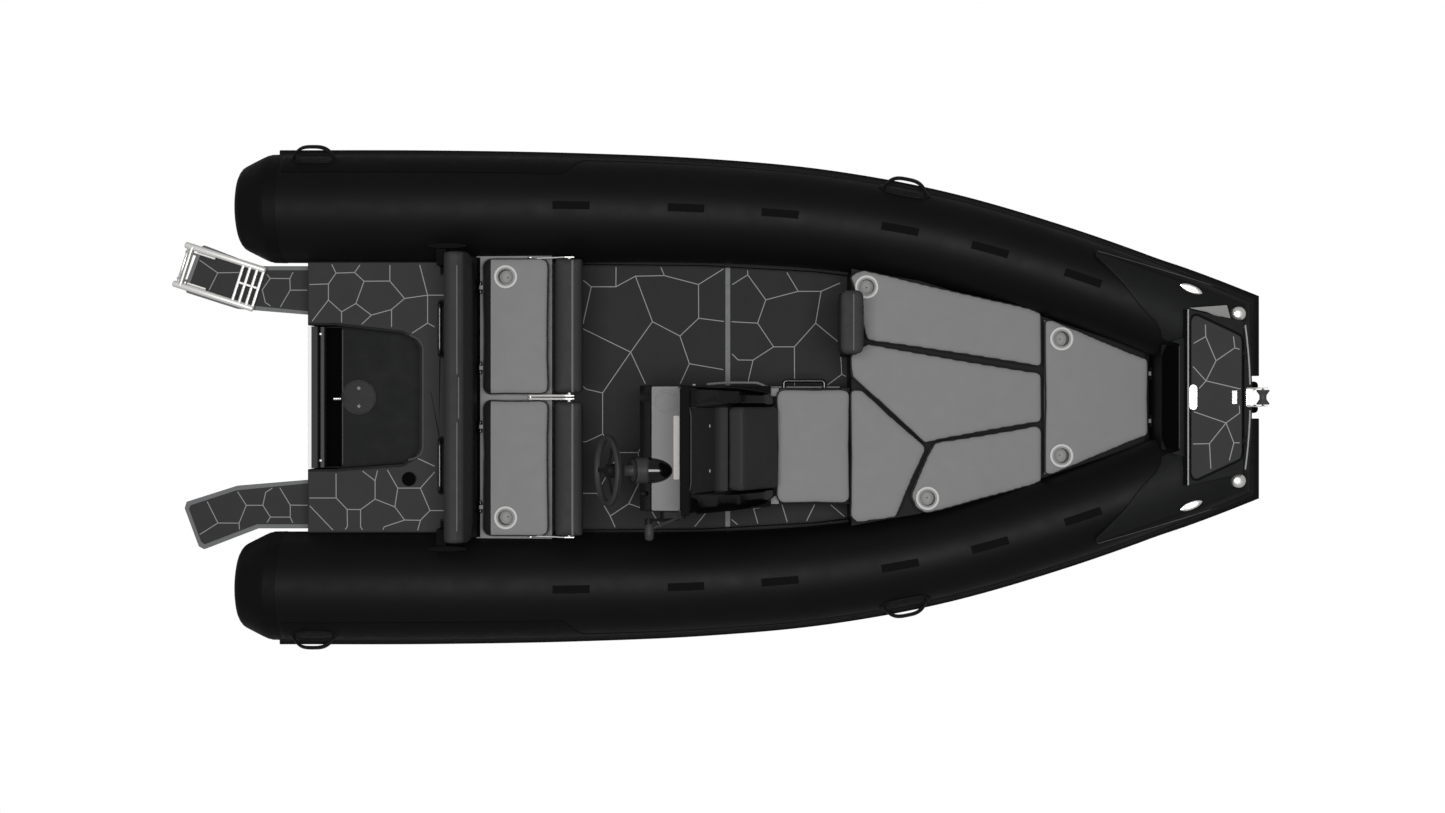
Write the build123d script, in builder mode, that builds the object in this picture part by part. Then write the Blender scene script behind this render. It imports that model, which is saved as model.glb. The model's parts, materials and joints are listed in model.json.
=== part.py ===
from build123d import *
import math
import os

os.makedirs("parts", exist_ok=True)

# Frame: origin on the waterline amidships, +X to the bow, +Y to port, +Z up, millimetres

# Driving dimensions of the boat
fit = 0.3
pin_fit = 0.1
sole_z = 150.0
pad_h = 8.0
deck_z = 380.0
well_z = 250.0
platform_z = 190.0
bench_z = 450.0
bow_seat_z = 510.0
transom_x = -2140.0
block_front_x = -1395.0
bench_front_x = -872.0
bow_base_x = 660.0
bow_base_end_x = 2180.0
bow_deck_low_z = 250.0
bow_deck_high_z = 431.0
stem_x = 2440.0

# How far the cutting shapes reach past every piece, sideways and upward
wide = 1000.0
tall = 1600.0

# Air tubes: centre line and radius, port side, aft to the bow corner
tube_stations = [
    {"x": -2290.0, "y": 977.0, "z": 330.0, "r": 280.0},
    {"x": -1500.0, "y": 976.0, "z": 330.0, "r": 280.0},
    {"x": -740.0, "y": 971.0, "z": 330.0, "r": 271.0},
    {"x": -100.0, "y": 954.0, "z": 346.0, "r": 258.0},
    {"x": 480.0, "y": 909.0, "z": 389.0, "r": 245.0},
    {"x": 1060.0, "y": 812.0, "z": 449.0, "r": 231.0},
    {"x": 1640.0, "y": 647.0, "z": 523.0, "r": 222.0},
    {"x": 2220.0, "y": 430.0, "z": 607.0, "r": 220.0},
    {"x": 2438.0, "y": 336.0, "z": 640.0, "r": 220.0},
]


def station_plane(index):
    # Section plane square to the tube there, at the mitre in the bow corner
    here = tube_stations[index]
    before = tube_stations[max(index - 1, 0)]
    after = tube_stations[min(index + 1, len(tube_stations) - 1)]
    centre = Vector(here["x"], here["y"], here["z"])
    arrive = centre - Vector(before["x"], before["y"], before["z"])
    leave = Vector(after["x"], after["y"], after["z"]) - centre
    if index == 0:
        ahead = Vector(1, 0, 0)
    elif index == len(tube_stations) - 1:
        ahead = arrive.normalized() + Vector(0, -1, 0)
    else:
        ahead = arrive.normalized() + leave.normalized()
    ahead = ahead.normalized()
    across = Vector(0, 0, 1).cross(ahead).normalized()
    return Plane(origin=centre, x_dir=across, z_dir=ahead)


def mitre_share(index):
    # The corner section is an ellipse, wider by one over the cosine of half the turn
    if index < len(tube_stations) - 1:
        return 1.0
    here = tube_stations[index]
    before = tube_stations[index - 1]
    run = Vector(here["x"] - before["x"], here["y"] - before["y"], 0).normalized()
    half_turn = math.acos(run.dot(Vector(0, -1, 0))) / 2
    return 1 / math.cos(half_turn)


def side_tube(extra):
    # One side tube as ruled gores between its stations, radius grown by extra
    with BuildPart() as gored:
        for index, row in enumerate(tube_stations):
            grown = row["r"] + extra
            with BuildSketch(station_plane(index)):
                Ellipse(grown * mitre_share(index), grown)
        loft(ruled=True)
    return gored.part


def snub_tube(extra):
    # The cross tube of the snub bow between the two mitred corners
    corner = len(tube_stations) - 1
    grown = tube_stations[corner]["r"] + extra
    port_face = station_plane(corner)
    origin = port_face.origin
    normal = port_face.z_dir
    twin = Plane(
        origin=(origin.X, -origin.Y, origin.Z),
        x_dir=(port_face.x_dir.X, -port_face.x_dir.Y, port_face.x_dir.Z),
        z_dir=(-normal.X, normal.Y, -normal.Z),
    )
    with BuildPart() as gored:
        for face in (port_face, twin):
            with BuildSketch(face):
                Ellipse(grown * mitre_share(corner), grown)
        loft(ruled=True)
    return gored.part


def mirrored(points):
    return [(x, -y) for x, y in points]


# Three separate air tubes
port_gores = side_tube(0)
bow_gores = snub_tube(0)
with BuildPart() as port_tube:
    add(port_gores)

with BuildPart() as starboard_tube:
    add(mirror(port_tube.part, about=Plane.XZ))

with BuildPart() as bow_tube:
    add(bow_gores)

port_tube.part.label = "port_tube"
export_step(port_tube.part, "parts/port_tube.step")
starboard_tube.part.label = "starboard_tube"
export_step(starboard_tube.part, "parts/starboard_tube.step")
bow_tube.part.label = "bow_tube"
export_step(bow_tube.part, "parts/bow_tube.step")

# The seat every fixed piece is cut to: the tubes grown by the fit
port_seat = side_tube(fit)
starboard_seat = mirror(port_seat, about=Plane.XZ)
bow_seat = snub_tube(fit)

# Turned end cones: half profile from the tube's end to the blunt cap
cone_profile = [
    {"x": -2290.0, "r": 280.0},
    {"x": -2350.0, "r": 273.0},
    {"x": -2405.0, "r": 250.0},
    {"x": -2445.0, "r": 222.0},
    {"x": -2474.0, "r": 190.0},
    {"x": -2484.0, "r": 176.0},
    {"x": -2490.0, "r": 172.0},
    {"x": -2501.0, "r": 150.0},
    {"x": -2507.0, "r": 110.0},
    {"x": -2509.0, "r": 0.0},
]
cone_y = tube_stations[0]["y"]
cone_z = tube_stations[0]["z"]
with BuildPart() as tube_end_cones:
    with BuildSketch(Plane(origin=(0, cone_y, cone_z), x_dir=(1, 0, 0), z_dir=(0, -1, 0))):
        with BuildLine():
            Polyline([(row["x"], row["r"]) for row in cone_profile] + [(cone_profile[0]["x"], 0)], close=True)
        make_face()
    revolve(axis=Axis((0, cone_y, cone_z), (1, 0, 0)))
    add(mirror(tube_end_cones.part, about=Plane.XZ))
tube_end_cones.part.label = "tube_end_cones"
export_step(tube_end_cones.part, "parts/tube_end_cones.step")

# Rubbing strake: a ridged rubber band on the outer edge, mitred round the snub bow
strake_h = 68.0
strake_t = 26.0
strake_in = 12.0


def strake_points(grown, corner_share):
    outer = grown + strake_t
    inner = grown - strake_in
    half = strake_h / 2
    return [
        (inner * corner_share, -half),
        ((outer - strake_t / 2) * corner_share, -half),
        (outer * corner_share, -half / 2),
        (outer * corner_share, half / 2),
        ((outer - strake_t / 2) * corner_share, half),
        (inner * corner_share, half),
    ]


with BuildPart() as rubbing_strake:
    for index, row in enumerate(tube_stations):
        with BuildSketch(station_plane(index)):
            Polygon(*strake_points(row["r"], mitre_share(index)), align=None)
    loft(ruled=True)
    strake_corner = station_plane(len(tube_stations) - 1)
    with BuildSketch(strake_corner):
        Polygon(*strake_points(tube_stations[-1]["r"], mitre_share(len(tube_stations) - 1)), align=None)
    with BuildSketch(Plane(origin=(tube_stations[-1]["x"], 0, tube_stations[-1]["z"]),
                           x_dir=(1, 0, 0), z_dir=(0, -1, 0))):
        Polygon(*strake_points(tube_stations[-1]["r"], 1.0), align=None)
    loft(ruled=True)
    add(mirror(rubbing_strake.part, about=Plane.XZ))
    add(port_seat, mode=Mode.SUBTRACT)
    add(starboard_seat, mode=Mode.SUBTRACT)
    add(bow_seat, mode=Mode.SUBTRACT)
rubbing_strake.part.label = "rubbing_strake"
export_step(rubbing_strake.part, "parts/rubbing_strake.step")

# Carry handles on the outer shoulder of each tube: base patch and a bowed grip
handle_rows = [
    {"x": -2085.0, "y": 977.0, "z": 330.0, "r": 280.0, "yaw": 0.0},
    {"x": 905.0, "y": 846.0, "z": 429.0, "r": 236.0, "yaw": -11.0},
]
handle_lean = 52.0
handle_l = 240.0
handle_w = 78.0
handle_base_h = 6.0
handle_grip_h = 26.0
handle_grip_t = 10.0
handle_grip_w = 34.0
with BuildPart() as carry_handles:
    for row in handle_rows:
        seat_plane = Plane(origin=(row["x"], row["y"], row["z"])).rotated((0, 0, row["yaw"]))
        seat_plane = seat_plane.rotated((-handle_lean, 0, 0))
        with BuildSketch(seat_plane.offset(row["r"] - strake_in)):
            Rectangle(handle_l, handle_w)
        extrude(amount=strake_in + handle_base_h)
        grip_plane = Plane(origin=seat_plane.origin, x_dir=seat_plane.x_dir, z_dir=-seat_plane.y_dir)
        with BuildSketch(grip_plane.offset(-handle_grip_w / 2)):
            base_r = row["r"]
            tops = [
                (-handle_l / 2 + handle_grip_w, base_r),
                (-handle_l / 4, base_r + handle_grip_h + handle_grip_t),
                (handle_l / 4, base_r + handle_grip_h + handle_grip_t),
                (handle_l / 2 - handle_grip_w, base_r),
                (handle_l / 2 - handle_grip_w - handle_grip_t, base_r),
                (handle_l / 4 - handle_grip_t / 2, base_r + handle_grip_h),
                (-handle_l / 4 + handle_grip_t / 2, base_r + handle_grip_h),
                (-handle_l / 2 + handle_grip_w + handle_grip_t, base_r),
            ]
            Polygon(*tops, align=None)
        extrude(amount=handle_grip_w)
    add(mirror(carry_handles.part, about=Plane.XZ))
    add(port_seat, mode=Mode.SUBTRACT)
    add(starboard_seat, mode=Mode.SUBTRACT)
carry_handles.part.label = "carry_handles"
export_step(carry_handles.part, "parts/carry_handles.step")

# Deep vee hull: keel, chine and side per station, ruled between stations
hull_stations = [
    {"x": -2140.0, "keel_z": -260.0, "chine_y": 700.0, "chine_z": -20.0, "side_y": 800.0, "side_z": 200.0},
    {"x": -600.0, "keel_z": -270.0, "chine_y": 700.0, "chine_z": -10.0, "side_y": 800.0, "side_z": 200.0},
    {"x": 500.0, "keel_z": -255.0, "chine_y": 655.0, "chine_z": 40.0, "side_y": 750.0, "side_z": 220.0},
    {"x": 1250.0, "keel_z": -190.0, "chine_y": 520.0, "chine_z": 130.0, "side_y": 660.0, "side_z": 330.0},
    {"x": 1850.0, "keel_z": -50.0, "chine_y": 350.0, "chine_z": 235.0, "side_y": 500.0, "side_z": 420.0},
    {"x": 2250.0, "keel_z": 110.0, "chine_y": 220.0, "chine_z": 330.0, "side_y": 400.0, "side_z": 480.0},
    {"x": 2440.0, "keel_z": 240.0, "chine_y": 110.0, "chine_z": 385.0, "side_y": 300.0, "side_z": 520.0},
]
chine_flat = 34.0
chine_drop = 4.25
cockpit_edge = [
    {"x": bench_front_x, "y": 700.0},
    {"x": -740.0, "y": 700.0},
    {"x": -100.0, "y": 694.0},
    {"x": 480.0, "y": 662.0},
    {"x": bow_base_x, "y": 640.0},
]


def bow_deck_z(x):
    # Height of the bow deck's slope at x
    share = (x - bow_base_x) / (stem_x - bow_base_x)
    return bow_deck_low_z + (bow_deck_high_z - bow_deck_low_z) * share


bow_slope = [(bow_base_x, bow_deck_low_z), (stem_x + wide, bow_deck_z(stem_x + wide))]
with BuildPart() as hull:
    for row in hull_stations:
        half = [
            (0, row["keel_z"]),
            (row["chine_y"] - chine_flat, row["chine_z"]),
            (row["chine_y"], row["chine_z"] - chine_drop),
            (row["side_y"], row["side_z"]),
        ]
        other = [(-y, z) for y, z in reversed(half[1:])]
        with BuildSketch(Plane(origin=(row["x"], 0, 0), x_dir=(0, 1, 0), z_dir=(1, 0, 0))):
            Polygon(*(half + other), align=None)
    loft(ruled=True)
    # Everything above the bow deck's slope is taken off
    with BuildSketch(Plane.XZ.offset(-wide)):
        Polygon(bow_slope[0], bow_slope[1], (stem_x + wide, tall), (bow_base_x, tall), align=None)
    extrude(amount=2 * wide, mode=Mode.SUBTRACT)
    # The aft blocks stand on the full width of the sole
    with BuildSketch(Plane.XY.offset(sole_z)):
        with Locations(((transom_x + bench_front_x) / 2, 0)):
            Rectangle(bench_front_x - transom_x, 2 * wide)
    extrude(amount=tall, mode=Mode.SUBTRACT)
    # The cockpit is narrower and leaves a ledge under the tubes
    edge = [(row["x"], row["y"]) for row in cockpit_edge]
    with BuildSketch(Plane.XY.offset(sole_z)):
        Polygon(*(edge + list(reversed(mirrored(edge)))), align=None)
    extrude(amount=tall, mode=Mode.SUBTRACT)
    add(port_seat, mode=Mode.SUBTRACT)
    add(starboard_seat, mode=Mode.SUBTRACT)
    add(bow_seat, mode=Mode.SUBTRACT)
hull.part.label = "hull"
export_step(hull.part, "parts/hull.step")

# Aft deck: block over the full width with the splash well let into it
slot_half = 372.0
well_half = 370.0
slot_front_x = -1990.0
well_front_x = -1564.0
plate_t = 50.0
plate_x = transom_x + plate_t
well_outline = [
    (plate_x, slot_half),
    (slot_front_x, well_half),
    (-1650.0, 330.0),
    (-1590.0, 300.0),
    (well_front_x, 252.0),
    (well_front_x, -262.0),
    (-1590.0, -310.0),
    (-1650.0, -344.0),
    (slot_front_x, -well_half),
    (plate_x, -slot_half),
]
with BuildPart() as aft_deck:
    with BuildSketch(Plane.XY.offset(sole_z)):
        with Locations(((transom_x + block_front_x) / 2, 0)):
            Rectangle(block_front_x - transom_x, 2 * wide)
    extrude(amount=deck_z - sole_z)
    with BuildSketch(Plane.XY.offset(well_z)):
        Polygon(*well_outline, align=None)
    extrude(amount=tall, mode=Mode.SUBTRACT)
    with BuildSketch(Plane.XY.offset(sole_z)):
        with Locations(((transom_x + slot_front_x) / 2, 0)):
            Rectangle(slot_front_x - transom_x, 2 * slot_half)
    extrude(amount=tall, mode=Mode.SUBTRACT)
    add(port_seat, mode=Mode.SUBTRACT)
    add(starboard_seat, mode=Mode.SUBTRACT)
    # Splitting by the tubes leaves loose outer strips, only the middle block is kept
aft_middle = sorted(aft_deck.part.solids(), key=lambda piece: abs(piece.center().Y))[0]
with BuildPart() as aft_deck_kept:
    add(aft_middle)
aft_deck_kept.part.label = "aft_deck"
export_step(aft_deck_kept.part, "parts/aft_deck.step")

# Transom plate carrying the outboard's four bolts
plate_half = 366.0
bolt_r = 6.5
upper_bolt_y = 163.7
lower_bolt_y = 127.0
upper_bolt_z = 300.0
lower_bolt_z = 196.0
with BuildPart() as transom_plate:
    with BuildSketch(Plane.XY.offset(sole_z)):
        with Locations((transom_x + plate_t / 2, 0)):
            Rectangle(plate_t, 2 * plate_half)
    extrude(amount=deck_z - sole_z)
    with BuildSketch(Plane(origin=(transom_x, 0, 0), x_dir=(0, 1, 0), z_dir=(1, 0, 0))):
        with Locations(
            (upper_bolt_y, upper_bolt_z), (-upper_bolt_y, upper_bolt_z),
            (lower_bolt_y, lower_bolt_z), (-lower_bolt_y, lower_bolt_z),
        ):
            Circle(bolt_r)
    extrude(amount=plate_t, mode=Mode.SUBTRACT)
transom_plate.part.label = "transom_plate"
export_step(transom_plate.part, "parts/transom_plate.step")

# Screw-in plates: the round inspection hatch of the well and the fuel filler cap
hatch_r = 86.0
hatch_x = -1898.0
filler_r = 36.0
filler_x = -1613.0
filler_y = -420.0
plate_h = 9.0
with BuildPart() as deck_plates:
    with BuildSketch(Plane.XY.offset(well_z)):
        with Locations((hatch_x, 0)):
            Circle(hatch_r)
    extrude(amount=plate_h)
    with BuildSketch(Plane.XY.offset(deck_z + pad_h)):
        with Locations((filler_x, filler_y)):
            Circle(filler_r)
    extrude(amount=plate_h)
deck_plates.part.label = "deck_plates"
export_step(deck_plates.part, "parts/deck_plates.step")

# Swim platforms either side of the outboard, with a knee to the transom
platform_t = 46.0
platform_outline = [
    (transom_x, 432.0),
    (-2555.0, 466.5),
    (-2818.0, 550.0),
    (-2828.0, 583.0),
    (-2753.0, 785.0),
    (-2726.0, 800.0),
    (-2441.0, 690.0),
    (transom_x, 690.0),
]
knee_y = 560.0
knee_t = 60.0
knee_end_x = -2700.0
knee_low_x = -2640.0
knee_foot_z = 60.0
with BuildPart() as swim_platforms:
    with BuildSketch(Plane.XY.offset(platform_z - platform_t)):
        Polygon(*platform_outline, align=None)
    extrude(amount=platform_t)
    with BuildSketch(Plane.XZ.offset(-knee_y - knee_t / 2)):
        Polygon(
            (transom_x, platform_z - platform_t), (knee_end_x, platform_z - platform_t),
            (knee_low_x, platform_z - 2 * platform_t), (transom_x, knee_foot_z), align=None,
        )
    extrude(amount=knee_t)
    add(port_seat, mode=Mode.SUBTRACT)
    add(tube_end_cones.part, mode=Mode.SUBTRACT)
    add(mirror(swim_platforms.part, about=Plane.XZ))
swim_platforms.part.label = "swim_platforms"
export_step(swim_platforms.part, "parts/swim_platforms.step")

# Boarding ladder folded on the port platform, hinged at the platform's aft edge
ladder_turn = 17.8
ladder_hinge_x = -2824.0
ladder_hinge_y = 692.0
ladder_hinge_z = 226.0
rail_r = 15.0
rail_half = 100.0
ladder_l = 424.0
pin_r = 8.0
sleeve_t = 4.0
tread_t = 16.0
tread_rows = [
    {"at": 80.0, "w": 82.0},
    {"at": 312.0, "w": 26.0},
    {"at": 344.0, "w": 26.0},
    {"at": 376.0, "w": 26.0},
    {"at": 409.0, "w": 30.0},
]
ladder_plane = Plane(origin=(ladder_hinge_x, ladder_hinge_y, ladder_hinge_z)).rotated((0, 0, -ladder_turn))
with BuildPart() as boarding_ladder:
    for side in (-1, 1):
        with BuildSketch(Plane(
            origin=ladder_plane.from_local_coords((0, side * rail_half, 0)),
            x_dir=ladder_plane.y_dir, z_dir=ladder_plane.x_dir,
        )):
            Circle(rail_r)
        extrude(amount=ladder_l)
        with BuildSketch(Plane(
            origin=ladder_plane.from_local_coords((0, side * rail_half, 0)),
            x_dir=ladder_plane.x_dir, z_dir=ladder_plane.y_dir,
        )):
            Circle(pin_r + sleeve_t + fit)
        extrude(amount=rail_r, both=True)
    for row in tread_rows:
        with BuildSketch(ladder_plane.offset(-tread_t / 2)):
            with Locations((row["at"], 0)):
                Rectangle(row["w"], 2 * rail_half)
        extrude(amount=tread_t)
    with BuildSketch(Plane(
        origin=ladder_plane.origin, x_dir=ladder_plane.x_dir, z_dir=ladder_plane.y_dir,
    )):
        Circle(pin_r + pin_fit)
    extrude(amount=tall, both=True, mode=Mode.SUBTRACT)
boarding_ladder.part.label = "boarding_ladder"
export_step(boarding_ladder.part, "parts/boarding_ladder.step")

# Ladder bracket: the hinge pin in two lugs standing off the platform's aft face
lug_t = 12.0
lug_gap = 6.0
lug_starts = [rail_half - rail_r - lug_gap, -rail_half + rail_r + lug_gap + lug_t]
lug_outline = [
    (-11.0, -10.0), (-11.0, 6.0), (6.0, 11.0), (24.0, -14.0), (44.0, -40.0), (80.0, -40.0),
    (80.0, -76.0), (30.0, -76.0), (20.0, -26.0),
]
with BuildPart() as ladder_bracket:
    for start in lug_starts:
        with BuildSketch(Plane(
            origin=ladder_plane.from_local_coords((0, start, 0)),
            x_dir=ladder_plane.x_dir, z_dir=-ladder_plane.y_dir,
        )):
            Polygon(*lug_outline, align=None)
        extrude(amount=lug_t)
    with BuildSketch(Plane(
        origin=ladder_plane.from_local_coords((0, -rail_half - rail_r, 0)),
        x_dir=ladder_plane.x_dir, z_dir=ladder_plane.y_dir,
    )):
        Circle(pin_r)
    extrude(amount=2 * (rail_half + rail_r))
    add(swim_platforms.part, mode=Mode.SUBTRACT)
ladder_bracket.part.label = "ladder_bracket"
export_step(ladder_bracket.part, "parts/ladder_bracket.step")

# Bench base over the full width, with a locker under each lid
lid_x = (-1217.0, -887.0)
lid_y = (22.0, 700.0)
locker_x = (-1195.0, -905.0)
locker_y = (45.0, 666.0)
locker_floor = 20.0
mid_lug_t = 6.0
bolster_pivot_x = -980.0
bolster_pivot_z = 474.0
pivot_r = 5.0
pivot_lug_r = 14.0
arm_t = 5.0
arm_gap = 1.0
outer_arm_y = 706.0
inner_arm_y = mid_lug_t / 2 + 2 * arm_gap
knuckle_r = 7.0
knuckle_half = 10.0
knuckle_gap = 1.0
knuckle_l = 20.0
hinge_pin_r = 3.0
bench_hinge_x = -1232.0
bench_hinge_z = 514.0
bench_hinges_y = (150.0, 560.0)
hinge_leg_t = 4.0
with BuildPart() as bench_base:
    with BuildSketch(Plane.XY.offset(sole_z)):
        with Locations(((block_front_x + bench_front_x) / 2, 0)):
            Rectangle(bench_front_x - block_front_x, 2 * wide)
    extrude(amount=bench_z - sole_z)
    for side in (-1, 1):
        with BuildSketch(Plane.XY.offset(sole_z + locker_floor)):
            with Locations((sum(locker_x) / 2, side * sum(locker_y) / 2)):
                Rectangle(locker_x[1] - locker_x[0], locker_y[1] - locker_y[0])
        extrude(amount=tall, mode=Mode.SUBTRACT)
    add(port_seat, mode=Mode.SUBTRACT)
    add(starboard_seat, mode=Mode.SUBTRACT)
bench_middle = sorted(bench_base.part.solids(), key=lambda piece: abs(piece.center().Y))[0]
with BuildPart() as bench_base_kept:
    add(bench_middle)
bench_base_kept.part.label = "bench_base"
export_step(bench_base_kept.part, "parts/bench_base.step")

# Bench hinges and bolster pivots stand on the bench base
with BuildPart() as bench_fittings:
    for side in (-1, 1):
        for hinge_y in bench_hinges_y:
            for start in (-knuckle_half - knuckle_gap - knuckle_l, knuckle_half + knuckle_gap):
                with BuildSketch(Plane.XZ.offset(-(side * hinge_y + start + knuckle_l))):
                    with Locations((bench_hinge_x, bench_hinge_z)):
                        Circle(knuckle_r)
                    Polygon(
                        (bench_hinge_x - knuckle_r, bench_z),
                        (bench_hinge_x - knuckle_r + hinge_leg_t, bench_z),
                        (bench_hinge_x - knuckle_r + hinge_leg_t, bench_hinge_z),
                        (bench_hinge_x - knuckle_r, bench_hinge_z), align=None,
                    )
                extrude(amount=knuckle_l)
            with BuildSketch(Plane.XZ.offset(-(side * hinge_y + knuckle_half + knuckle_gap + knuckle_l))):
                with Locations((bench_hinge_x, bench_hinge_z)):
                    Circle(hinge_pin_r)
            extrude(amount=2 * (knuckle_half + knuckle_gap + knuckle_l))
        with BuildSketch(Plane.XZ.offset(-side * (outer_arm_y + arm_t + arm_gap))):
            with Locations((bolster_pivot_x, bolster_pivot_z)):
                Circle(pivot_lug_r)
            Polygon(
                (bolster_pivot_x - pivot_lug_r, bench_z), (bolster_pivot_x + pivot_lug_r, bench_z),
                (bolster_pivot_x + pivot_lug_r, bolster_pivot_z),
                (bolster_pivot_x - pivot_lug_r, bolster_pivot_z), align=None,
            )
        extrude(amount=-side * mid_lug_t)
        with BuildSketch(Plane.XZ.offset(-side * (outer_arm_y + arm_t + arm_gap))):
            with Locations((bolster_pivot_x, bolster_pivot_z)):
                Circle(pivot_r)
        extrude(amount=side * (arm_t + 2 * arm_gap))
    with BuildSketch(Plane.XZ.offset(-mid_lug_t / 2)):
        with Locations((bolster_pivot_x, bolster_pivot_z)):
            Circle(pivot_lug_r)
        Polygon(
            (bolster_pivot_x - pivot_lug_r, bench_z), (bolster_pivot_x + pivot_lug_r, bench_z),
            (bolster_pivot_x + pivot_lug_r, bolster_pivot_z),
            (bolster_pivot_x - pivot_lug_r, bolster_pivot_z), align=None,
        )
    extrude(amount=mid_lug_t)
    with BuildSketch(Plane.XZ.offset(-inner_arm_y - arm_t - arm_gap)):
        with Locations((bolster_pivot_x, bolster_pivot_z)):
            Circle(pivot_r)
    extrude(amount=2 * (inner_arm_y + arm_t + arm_gap))
    add(port_seat, mode=Mode.SUBTRACT)
    add(starboard_seat, mode=Mode.SUBTRACT)
bench_fittings.part.label = "bench_fittings"
export_step(bench_fittings.part, "parts/bench_fittings.step")

# Bench lids: a board with its two hinge knuckles and the cup tub, port then mirrored
board_t = 12.0
seat_t = 60.0
cup_x = -1102.5
cup_y = 614.0
cup_r = 42.0
cup_flange_r = 57.0
cup_wall = 3.0
cup_flange_t = 4.0
cup_deep = 84.0
bench_top = bench_z + board_t + seat_t
leaf_bite = 1.0
leaf_t = 2.0
leaf_back_x = lid_x[0] - hinge_leg_t
leaf_front_x = lid_x[0] + leaf_bite


def cup_tub(x, y, top, deep):
    # A tub with its flange, and the bore that opens it and whatever lies above its floor
    with BuildPart() as tub:
        with BuildSketch(Plane.XY.offset(top - deep)):
            with Locations((x, y)):
                Circle(cup_r)
        extrude(amount=deep)
        with BuildSketch(Plane.XY.offset(top)):
            with Locations((x, y)):
                Circle(cup_flange_r)
        extrude(amount=cup_flange_t)
    with BuildPart() as bore:
        with BuildSketch(Plane.XY.offset(top - deep + cup_wall)):
            with Locations((x, y)):
                Circle(cup_r - cup_wall)
        extrude(amount=tall)
    return tub.part, bore.part


bench_tub, bench_bore = cup_tub(cup_x, cup_y, bench_top, cup_deep)
with BuildPart() as bench_lid_port:
    with BuildSketch(Plane.XY.offset(bench_z)):
        with Locations((sum(lid_x) / 2, sum(lid_y) / 2)):
            Rectangle(lid_x[1] - lid_x[0], lid_y[1] - lid_y[0])
    extrude(amount=board_t)
    for hinge_y in bench_hinges_y:
        with BuildSketch(Plane.XZ.offset(-hinge_y - knuckle_half)):
            with Locations((bench_hinge_x, bench_hinge_z)):
                Circle(knuckle_r)
            Polygon(
                (leaf_back_x, bench_z), (leaf_front_x, bench_z), (leaf_front_x, bench_z + board_t),
                (leaf_back_x + leaf_t, bench_z + board_t), (leaf_back_x + leaf_t, bench_hinge_z + knuckle_r),
                (bench_hinge_x, bench_hinge_z + knuckle_r),
                (bench_hinge_x + knuckle_r - leaf_bite, bench_hinge_z - knuckle_r),
                (leaf_back_x, bench_z + board_t), align=None,
            )
        extrude(amount=2 * knuckle_half)
        with BuildSketch(Plane.XZ.offset(-hinge_y - knuckle_half)):
            with Locations((bench_hinge_x, bench_hinge_z)):
                Circle(hinge_pin_r + pin_fit)
        extrude(amount=2 * knuckle_half, mode=Mode.SUBTRACT)
    add(bench_tub)
    add(bench_bore, mode=Mode.SUBTRACT)
bench_lid_port.part.label = "bench_lid_port"
export_step(bench_lid_port.part, "parts/bench_lid_port.step")

with BuildPart() as bench_lid_starboard:
    add(mirror(bench_lid_port.part, about=Plane.XZ))
bench_lid_starboard.part.label = "bench_lid_starboard"
export_step(bench_lid_starboard.part, "parts/bench_lid_starboard.step")

# Bench cushions, bored for the cup tub
corner_r = 30.0
edge_soft = 14.0
with BuildPart() as bench_cushion_port:
    with BuildSketch(Plane.XY.offset(bench_z + board_t)):
        with Locations((sum(lid_x) / 2, sum(lid_y) / 2)):
            RectangleRounded(lid_x[1] - lid_x[0], lid_y[1] - lid_y[0], corner_r)
    extrude(amount=seat_t)
    fillet(bench_cushion_port.faces().sort_by(Axis.Z)[-1].edges(), edge_soft)
    with BuildSketch(Plane.XY.offset(bench_z)):
        with Locations((cup_x, cup_y)):
            Circle(cup_r + fit)
    extrude(amount=tall, mode=Mode.SUBTRACT)
bench_cushion_port.part.label = "bench_cushion_port"
export_step(bench_cushion_port.part, "parts/bench_cushion_port.step")

with BuildPart() as bench_cushion_starboard:
    add(mirror(bench_cushion_port.part, about=Plane.XZ))
bench_cushion_starboard.part.label = "bench_cushion_starboard"
export_step(bench_cushion_starboard.part, "parts/bench_cushion_starboard.step")

# Rear backrest standing on the bench base
backrest_x = (-1386.0, -1252.0)
backrest_half = 728.0
backrest_top = 800.0
backrest_foot_in = 40.0
backrest_lean = 10.0
backrest_slope_in = 34.0
backrest_slope_h = 60.0
backrest_crown_in = 24.0
backrest_crown_h = 30.0
backrest_belly_h = 120.0
with BuildPart() as rear_backrest:
    with BuildSketch(Plane.XZ.offset(-backrest_half)):
        Polygon(
            (backrest_x[0] + backrest_foot_in, bench_z), (backrest_x[1], bench_z),
            (backrest_x[1] - backrest_lean, backrest_top - backrest_slope_h),
            (backrest_x[1] - backrest_slope_in, backrest_top),
            (backrest_x[0] + backrest_crown_in, backrest_top),
            (backrest_x[0], backrest_top - backrest_crown_h),
            (backrest_x[0], backrest_top - backrest_belly_h), align=None,
        )
    extrude(amount=2 * backrest_half)
    fillet(rear_backrest.edges().filter_by(Axis.Z), edge_soft)
    add(port_seat, mode=Mode.SUBTRACT)
    add(starboard_seat, mode=Mode.SUBTRACT)
rear_backrest.part.label = "rear_backrest"
export_step(rear_backrest.part, "parts/rear_backrest.step")

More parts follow.
